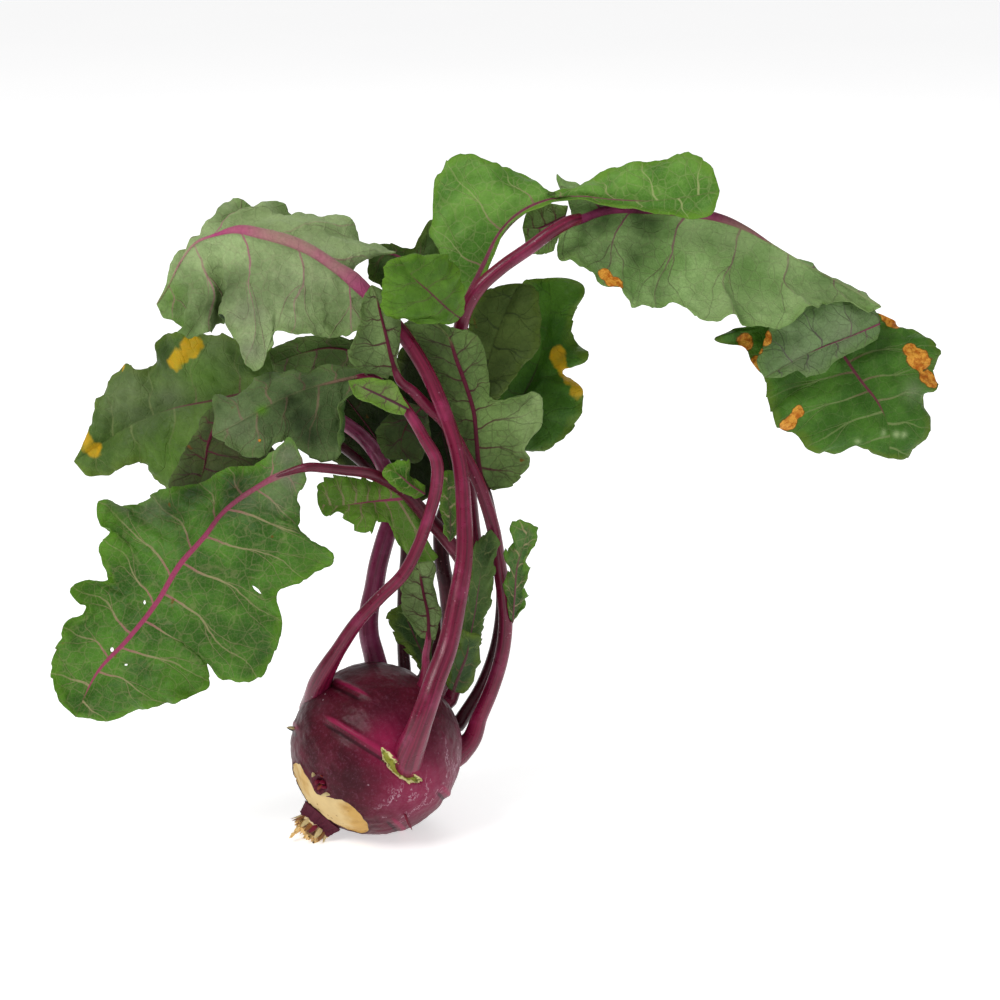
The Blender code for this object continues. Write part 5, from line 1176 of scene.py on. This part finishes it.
def bulbMesh():
    th = np.radians(np.linspace(0, 180, bulbShape["down"] + 1)[1:-1])
    ph = np.linspace(0, 2 * math.pi, bulbShape["around"], endpoint=False)
    tt, pp = np.meshgrid(th, ph, indexing="ij")
    level = np.cos(pp)[..., None] * facing + np.sin(pp)[..., None] * across
    d = np.cos(tt)[..., None] * growth + np.sin(tt)[..., None] * level
    d = np.concatenate([[growth], d.reshape(-1, 3), [-growth]])
    thd, phd = skinAngles(d)
    r = bulbRadius(d, True)
    flat = d * bulbShape["radius"]
    r = r + 0.22 * ripple(flat, 14.0, 5) + 0.10 * ripple(flat, 5.0, 6) + 0.05 * ripple(flat, 2.4, 7)
    # peeled corky band
    top = np.interp(phd, corkTop[:, 0], corkTop[:, 1])
    low = np.interp(phd, corkEnd[:, 0], corkEnd[:, 1])
    inside = np.minimum(thd - top, low - thd) + 0.35 * ripple(flat, 5.0, 9)
    r = r - 0.55 * smoothStep(-0.5, 0.6, inside) + 0.3 * np.exp(-((inside + 0.6) / 0.8) ** 2)
    # split under the front stalk
    run = (phd - splitAt["phi"]) / splitAt["half"]
    split = splitAt["deep"] - np.abs(thd - splitAt["theta"] + 4.0 * run ** 2) - 2.6 * run ** 6
    split = split + 0.8 * ripple(flat, 2.2, 12)
    lip = 0.5 * np.exp(-((split + 0.5) / 0.6) ** 2) * (np.abs(run) < 1.2)
    r = r - 1.3 * smoothStep(-0.4, 1.6, split) + lip
    # hollow with a bud
    hole = np.hypot(thd - budAt["theta"], (phd - budAt["phi"]) * 0.69) / budAt["size"]
    r = r - 1.9 * np.exp(-hole ** 2 * 1.6) + 0.45 * np.exp(-((hole - 1.25) / 0.3) ** 2)
    pts = bulbShape["middle"] + d * r[:, None]
    pts[:, 2] = np.maximum(pts[:, 2], 0.0)
    faces = ringFaces(len(th), len(ph), 1, 0, len(pts) - 1)
    return pts, faces, d, thd, phd, inside, split, hole


def bulbMaterial():
    w = Weave("bulb_skin", 0.42, 0.17)
    look = bulbLook
    cork, split, scar = w.numbers("bulbMarks")
    hole, wine, flank = w.numbers("bulbPlace")
    big = w.noise(32.0, 5.0, 0.62)
    fine = w.noise(240.0, 4.0, 0.65)
    grain = w.noise(900.0, 3.0, 0.7)
    colour = w.mix(big.ramp(0.36, 0.64), look["dark"], look["skin"])
    colour = w.mix(wine * big.ramp(0.2, 0.8, 0.6, 1.0), colour, look["wine"])
    bloom = (w.noise(64.0, 6.0, 0.7) + flank * 0.12).ramp(0.5, 0.74) * fine.ramp(0.35, 0.65, 0.35, 1.0)
    colour = w.mix(bloom * flank.ramp(0.0, 1.0, 0.16, 0.6), colour, look["bloom"])
    colour = w.mix(grain.ramp(0.5, 0.7) * 0.16, colour, look["lilac"])
    scratch = abs(w.noise(55.0, 5.0, 0.7, w.stretch(w.where, (1.0, 2.2, 0.5))) - 0.5)
    scratch = scratch.ramp(0.0, 0.012, 1.0, 0.0)
    colour = w.mix(scratch * flank.ramp(0.15, 0.7, 0.0, 0.7), colour, look["scratch"])
    # scar ridges go towards wine, a lighter skin that is partly a painted highlight; the furrow past each
    # gets painted shade
    colour = w.mix(scar.ramp(0.25, 0.9, 0.0, 0.7), colour, look["wine"])
    colour = w.mix(scar.ramp(-0.9, -0.3, 0.7, 0.0), colour, look["groove"])
    flecks = w.cells(260.0, "F1").ramp(0.07, 0.13, 1.0, 0.0) * w.noise(45.0).ramp(0.57, 0.64)
    colour = w.mix(flecks * 0.7, colour, look["fleck"])
    # painted shade in the hollow round the bud
    colour = w.mix(hole.ramp(0.55, 0.95, 0.85, 0.0), colour, look["hole"])
    corkTone = w.mix(w.noise(130.0, 4.0, 0.6).ramp(0.4, 0.75, 0.0, 0.75), look["cork"], look["corkDark"])
    corkTone = w.mix(w.noise(60.0, 3.0).ramp(0.42, 0.6, 0.0, 0.8), corkTone, look["corkPale"])
    dots = w.cells(330.0, "F1").ramp(0.12, 0.2, 1.0, 0.0) * w.noise(90.0).ramp(0.5, 0.6)
    corkTone = w.mix(dots * 0.7, corkTone, look["corkDot"])
    ragged = cork + (w.noise(300.0, 3.0) - 0.5) * 0.9
    corkMask = ragged.ramp(-0.15, 0.15)
    edge = ragged.ramp(-1.0, -0.2) * (1.0 - corkMask)
    colour = w.mix(edge * 0.75, colour, look["corkEdge"])
    colour = w.mix(corkMask, colour, corkTone)
    tear = split + (w.noise(520.0, 3.0) - 0.5) * 1.5
    tearTone = w.mix(tear.ramp(0.7, 1.5), look["crackPale"], look["crack"])
    tearTone = w.mix(w.noise(420.0, 3.0).ramp(0.5, 0.66, 0.0, 0.7), tearTone, look["crackDark"])
    w.set("Base Color", w.mix(tear.ramp(-0.1, 0.25), colour, tearTone))
    rough = bloom * 0.2 + 0.38
    w.set("Roughness", rough.step("ADD", rough, corkMask * 0.3, clamp=True))
    w.bump(fine * 0.8 + grain * 0.4, 0.0003, 0.8)
    return w.mat


def wayOf(theta, phi):                             # out, down and level at a place on the bulb, in degrees
    a, b = math.radians(theta), math.radians(phi)
    level = math.cos(b) * facing + math.sin(b) * across
    return math.cos(a) * growth + math.sin(a) * level, -math.sin(a) * growth + math.cos(a) * level, level


def patchOf(theta, phi, spread):                   # soft spot round a place on the bulb
    way = wayOf(theta, phi)[0]
    return np.exp(-(np.degrees(np.arccos(np.clip(bulbDirs @ way, -1, 1))) / spread) ** 2)


bulbPts, bulbFaces, bulbDirs, bulbTh, bulbPh, corkField, splitField, holeField = bulbMesh()
# above 0 on the scar ridges, below 0 in the furrow past each, where painted shade goes
scarField = np.zeros(len(bulbPts))
for _, fade, past in scarPlaces(bulbTh, bulbPh):
    scarField += fade * (np.exp(-(past / 2.2) ** 2) - np.exp(-((past - 5.0) / 1.8) ** 2))
flank = np.clip(patchOf(62, 66, 26) + patchOf(108, 45, 20), 0, 1)
wineField = np.clip(0.9 * patchOf(80, 2, 17) + 0.7 * patchOf(96, 40, 24) + 0.5 * patchOf(70, 60, 26), 0, 1)
bulb = meshObject("bulb_skin_fine", bulbPts, bulbFaces, [bulbMaterial()])
addVectors(bulb, "bulbMarks", corkField, splitField, scarField)
addVectors(bulb, "bulbPlace", holeField, wineField, flank)
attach(bulb, "root")
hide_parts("bulb")

# small growths on the bulb: (degrees from the growing point, degrees round, length, half width,
# lean towards the root, lean round, colour)
budScales = [(133, -33, 4.4, 1.0, -0.2, 0.9, "cream"), (137, -27, 3.2, 1.1, 0.3, 0.5, "wine"),
             (134, -20, 3.4, 1.2, -0.3, -0.2, "wine"), (139, -22, 2.8, 0.9, 0.6, 0.1, "rust"),
             (136, -16, 3.2, 1.1, 0.1, -0.6, "wine"), (138, -9, 4.6, 1.1, 0.4, -0.9, "cream"),
             (131, -24, 2.6, 0.9, -0.8, 0.2, "rust"), (141, -28, 2.4, 0.8, 0.9, 0.4, "wine"),
             (115, -79, 3.4, 1.4, 0.2, -0.3, "cream"), (117, -86, 3.4, 1.0, -0.3, -0.3, "black"),
             (112, 50, 5.2, 1.2, 0.5, 1.1, "wine"), (114, 58, 4.6, 1.2, 0.3, 1.4, "wine"),
             (166, -82, 5.0, 0.9, 0.9, 0.9, "cream"), (168, -60, 5.5, 1.1, 1.0, 0.7, "bark"),
             (169, -30, 5.0, 1.2, 0.8, -0.3, "cream"), (168, 5, 4.6, 1.2, 0.6, 0.5, "wine"),
             (166, 30, 5.2, 1.3, 0.3, 0.8, "cream"), (165, 52, 5.4, 1.3, -0.2, 0.9, "bark"),
             (168, 70, 5.0, 1.3, 0.4, -0.3, "cream"), (170, -10, 5.5, 1.1, 1.1, 0.2, "bark"),
             (167, -100, 5.5, 1.0, 1.1, -0.2, "wine"), (169, 140, 5.0, 1.3, 0.8, 0.3, "bark"),
             (168, -150, 5.0, 1.2, 0.9, 0.3, "cream")]
growthTones = {"cream": (228, 206, 150), "bark": (150, 98, 50), "wine": (130, 20, 52), "rust": (150, 60, 36),
               "black": (22, 14, 12)}


def growthMaterial(label):
    w = Weave("growth_" + label, 0.5, 0.3)
    base = tone(*growthTones[label])
    w.set("Base Color", w.mix(w.noise(600.0, 3.0), base, tuple(0.45 * c for c in base[:3]) + (1.0,)))
    w.bump(w.noise(900.0, 3.0), 0.0002, 0.7)
    return w.mat


def growthMesh():
    rings, sides = 9, 10
    rimDown, rimOut = 40.3, 6.3
    pts, faces, picks = [], [], []
    for th, ph, size, half, leanDown, leanRound, label in budScales:
        d, down, level = wayOf(th, ph)
        down = unitVec(down)
        base = bulbShape["middle"] + d * (bulbRadius(d[None], True)[0] - (1.7 if 125 < th < 150 else 0.5))
        bend = 0.55
        if th > 160:                               # round the torn edge of the root
            base = bulbShape["middle"] - growth * rimDown + level * rimOut
            d, down, bend = unitVec(level * 0.3 - growth), level, 0.25
        spin = np.cross(d, down)
        first = len(pts)
        for i in range(rings):
            t = i / (rings - 1)
            mid = base + d * size * t + (down * leanDown + spin * leanRound) * size * bend * t ** 1.6
            wide = half * math.sin(math.pi * (0.25 + 0.75 * t)) ** 0.8 + 0.02
            for j in range(sides):
                q = 2 * math.pi * j / sides
                pts.append(mid + spin * math.cos(q) * wide + down * math.sin(q) * wide * 0.45)
        for row in range(first, first + (rings - 1) * sides, sides):
            for j in range(sides):
                p0, p1 = row + j, row + (j + 1) % sides
                faces.append((p0, p1, p1 + sides, p0 + sides))
        faces.append(tuple(range(first, first + sides))[::-1])
        faces.append(tuple(range(len(pts) - sides, len(pts))))
        picks += [list(growthTones).index(label)] * ((rings - 1) * sides + 2)
    pts = np.array(pts)
    pts[:, 2] = np.maximum(pts[:, 2], clearOfFloor)
    return pts, faces, picks


growthPts, growthFaces, growthPicks = growthMesh()
growths = meshObject("bulb_growths", growthPts, growthFaces, [growthMaterial(label) for label in growthTones],
                     growthPicks)
weldTips(growths)
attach(growths, "root")
print("bulb:", 2 * len(bulb.data.polygons), "triangles")

# at and taper: how thick the root is on its way down. tornFrom: mm from the bulb's middle.
# fibres: how many a square metre, with their length and width in metres.
rootLook = {"narrow": 5.0, "length": 9.6, "sides": 100, "rings": 40, "fibres": 120000.0,
            "fibreLength": 0.0034, "fibreWidth": 0.0014, "tornFrom": 42.2,
            "at": (0, 0.15, 0.35, 0.52, 0.58, 0.8, 1.0),
            "taper": (9.6, 8.6, 7.5, 6.9, 5.8, 5.3, 4.6), "bark": (128, 76, 54), "pale": (226, 190, 132),
            "patch": (232, 196, 128), "purple": (84, 26, 46), "dark": (60, 30, 24), "lip": (238, 214, 168),
            "torn": (236, 200, 136)}


def rootMaterial():
    w = Weave("root_bark", 0.7, 0.25)
    look = rootLook
    t, _, _ = w.numbers("rootPlace")
    grain = w.noise(1.0, 5.0, 0.7, w.stretch(w.stored("rootPlace"), (3.0, 9.0, 1.0)))
    patches = w.noise(210.0)
    spots = w.noise(420.0, 4.0, 0.7)
    colour = w.mix(grain.ramp(0.35, 0.65), look["bark"], look["pale"])
    colour = w.mix(patches.ramp(0.52, 0.6), colour, look["patch"])
    colour = w.mix(patches.ramp(0.36, 0.44, 0.8, 0.0), colour, look["purple"])
    colour = w.mix(spots.ramp(0.52, 0.66, 0.0, 0.8), colour, look["dark"])
    ragged = t + w.noise(170.0, 3.0) * 0.45
    colour = w.mix(ragged.ramp(0.74, 0.8, 1.0, 0.0), colour, look["purple"])
    colour = w.mix(abs(ragged - 0.79).ramp(0.03, 0.07, 0.9, 0.0), colour, look["lip"])
    torn = (t + w.noise(300.0) * 0.5).ramp(1.0, 1.3, 0.0, 0.85)
    w.set("Base Color", w.mix(torn, colour, look["torn"]))
    w.bump(grain + spots * 0.6, 0.0005, 0.9)
    return w.mat


def rootMesh():
    rng = np.random.default_rng(11)
    sides, rings, reach = rootLook["sides"], rootLook["rings"], rootLook["length"]
    ang = np.linspace(0, 2 * math.pi, sides, endpoint=False)
    start = bulbShape["middle"] - growth * (bulbRadius(-growth[None])[0] - 1.5)
    level = np.outer(np.cos(ang), facing) + np.outer(np.sin(ang), across)
    torn = 2.2 * np.sin(5 * ang + 1.0) + 1.6 * np.sin(11 * ang + 2.0) + rng.uniform(-1.2, 1.2, sides)
    pts = []
    tornMark = 1.3                                 # how far along the material takes the hollow end to be
    stages = [i / (rings - 1) for i in range(rings)]
    for t in stages:
        furrow = 1 + 0.13 * np.cos(5 * ang + 0.6) * min(1, 3 * t) + 0.05 * np.sin(17 * ang + 5 * t)
        furrow = furrow + 0.04 * np.sin(31 * ang + 9 * t) + 0.03 * rng.uniform(-1, 1, sides)
        ragged = t + 0.07 * np.sin(3 * ang + 1) + 0.04 * np.sin(8 * ang)
        r = np.interp(ragged, rootLook["at"], rootLook["taper"]) * (1 + (furrow - 1) * min(1, 0.3 + 1.4 * t))
        c = start - growth * ((reach + 0.6) * t)
        pts.extend(c + level * r[:, None] - np.outer(torn * t ** 6 * 0.8, growth))
    for depth in (0.75, 0.45, 0.15):               # a ragged hollow end
        c = start - growth * (reach - 2.2 * (1 - depth) + rng.uniform(-0.5, 0.5))
        pts.extend(c + level * (rootLook["narrow"] * depth) + rng.uniform(-0.6, 0.6, (sides, 3)))
        stages.append(tornMark)
    pts = np.array(pts + [start, start - growth * (reach - 2.0)])
    pts[:, 2] = np.maximum(pts[:, 2], clearOfFloor)
    last = len(stages) * sides
    faces = ringFaces(len(stages), sides, 0, last, last + 1)
    alongIt = np.append(np.repeat(stages, sides), [0, tornMark])
    return pts, faces, alongIt, np.append(np.tile(ang, len(stages)), [0, 0])


rootPts, rootFaces, rootAlong, rootRound = rootMesh()
rootMat = rootMaterial()
root = meshObject("root_end_bark", rootPts, rootFaces, [rootMat])
addVectors(root, "rootPlace", rootAlong, rootRound)


def fibreTree():                                   # torn fibres over the woody end
    fibres = Grower("fibreTree", [("Density", "Float", rootLook["fibres"]),
                                  ("Length", "Float", rootLook["fibreLength"]),
                                  ("Thickness", "Float", rootLook["fibreWidth"]), ("Seed", "Int", 3)])
    tree, given = fibres.tree, fibres.given
    spread = addNode(tree, "GeometryNodeDistributePointsOnFaces", Mesh=given["Geometry"],
                     Density=given["Density"], Seed=given["Seed"])
    cone = addNode(tree, "GeometryNodeMeshCone", Vertices=5, Side_Segments=4, Radius_Top=0.3,
                   Radius_Bottom=1.0, Depth=1.0)
    jitter = addNode(tree, "FunctionNodeRandomValue", {"data_type": "FLOAT_VECTOR"})
    jitter.inputs[0].default_value = (-1.0, -1.0, -1.0)
    jitter.inputs[1].default_value = (1.0, 1.0, 1.0)
    lean = jitter.outputs[0]
    for pull in (tuple(-growth * 2.4), spread.outputs["Normal"]):
        total = addNode(tree, "ShaderNodeVectorMath", {"operation": "ADD"}, Vector=lean)
        put(tree, total.inputs[1], pull)
        lean = total.outputs[0]
    aim = addNode(tree, "FunctionNodeAlignRotationToVector", {"axis": "Z"}, Vector=lean)
    reach = tree.nodes.new("FunctionNodeRandomValue")
    reach.inputs[2].default_value = 0.35
    reach.inputs[3].default_value = 1.0
    high = Flow(tree, given["Length"]) * reach.outputs[1]
    flat = Flow(tree, given["Thickness"]) * 0.45   # shards are flat
    size = addNode(tree, "ShaderNodeCombineXYZ", X=given["Thickness"], Y=flat, Z=high)
    copies = addNode(tree, "GeometryNodeInstanceOnPoints", Points=spread.outputs["Points"],
                     Instance=cone.outputs["Mesh"], Rotation=aim.outputs[0], Scale=size.outputs[0])
    fibres.close(copies.outputs[0])
    return fibres


def tornEnd(obj):                                  # a copy of the part of the root that fibres grow on
    bm = bmesh.new()
    bm.from_mesh(obj.data)
    middle = Vector(tuple(bulbShape["middle"] * mm))
    way = Vector(tuple(-growth))
    gone = [f for f in bm.faces if (f.calc_center_median() - middle).dot(way) < rootLook["tornFrom"] * mm]
    bmesh.ops.delete(bm, geom=gone, context="FACES")
    mesh = bpy.data.meshes.new("torn")
    bm.to_mesh(mesh)
    bm.free()
    return newObject("torn", mesh)


strands = fibreTree().grow(tornEnd(root), {"Material": rootMat}, "root_end_fibres")
strandCo = np.zeros(len(strands.data.vertices) * 3, np.float32)
strands.data.vertices.foreach_get("co", strandCo)
strandCo = strandCo.reshape(-1, 3)
strandCo[:, 2] = np.maximum(strandCo[:, 2], clearOfFloor * mm)
strands.data.vertices.foreach_set("co", strandCo.ravel())
grainScale = 900                                   # from metres to the grain on the root
addVectors(strands, "rootPlace", np.full(len(strandCo), 0.95), strandCo[:, 0] * grainScale,
           strandCo[:, 1] * grainScale)
for piece in (root, strands):
    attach(piece, "root")
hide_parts("root_end")
print("root end and", len(strandCo), "fibre points")

studio = {"floor": 14.0, "floorGlow": 0.55, "world": 0.42, "key": 18.0, "fill": 2.0, "back": 8.0}
white = (1.0, 1.0, 1.0, 1.0)
floorMesh = bpy.data.meshes.new("floor")
corners = [(x * studio["floor"], y * studio["floor"], 0) for x, y in ((-1, -1), (1, -1), (1, 1), (-1, 1))]
floorMesh.from_pydata(corners, [], [(0, 1, 2, 3)])
floor = newObject("floor", floorMesh)
paper = Weave("floor_paper", 0.6, 0.3)
paper.set("Base Color", paper.mix(paper.noise(3.0), (0.86, 0.86, 0.87, 1), (0.9, 0.9, 0.9, 1)))
paper.set("Emission Color", white)
paper.set("Emission Strength", studio["floorGlow"])
floorMesh.materials.append(paper.mat)


def aimAt(obj, place, target):
    obj.location = place
    obj.rotation_euler = (Vector(target) - Vector(place)).to_track_quat("-Z", "Y").to_euler()


def softLight(name, place, target, size, power, tint=(1, 1, 1)):
    data = bpy.data.lights.new(name, "AREA")
    data.shape = "DISK"
    data.size = size
    data.energy = power
    data.color = tint
    aimAt(newObject(name, data), place, target)


softLight("key", (-0.9, -0.9, 1.5), (0.03, 0, 0.12), 0.9, studio["key"], (1.0, 0.985, 0.96))
softLight("fill", (1.4, -1.1, 0.8), (0.05, 0, 0.12), 1.2, studio["fill"])
softLight("back", (0.3, 1.5, 1.6), (0.05, 0, 0.12), 1.2, studio["back"])
world = bpy.data.worlds.new("studio")
world.use_nodes = True
world.node_tree.nodes["Background"].inputs["Color"].default_value = white
world.node_tree.nodes["Background"].inputs["Strength"].default_value = studio["world"]
bpy.context.scene.world = world

view = {"target": Vector((0.0517, 0.0, 0.1436)), "distance": 1.08, "elevation": 16.0, "lens": 95.2}
rise = math.radians(view["elevation"])
camData = bpy.data.cameras.new("camera")
camData.lens = view["lens"]
camData.sensor_width = 36.0
camera = newObject("camera", camData)
eye = view["target"] + view["distance"] * Vector((0.0, -math.cos(rise), math.sin(rise)))
aimAt(camera, eye, view["target"])
bpy.context.scene.camera = camera
bpy.context.scene.view_settings.view_transform = "Standard"

print("scene ready")
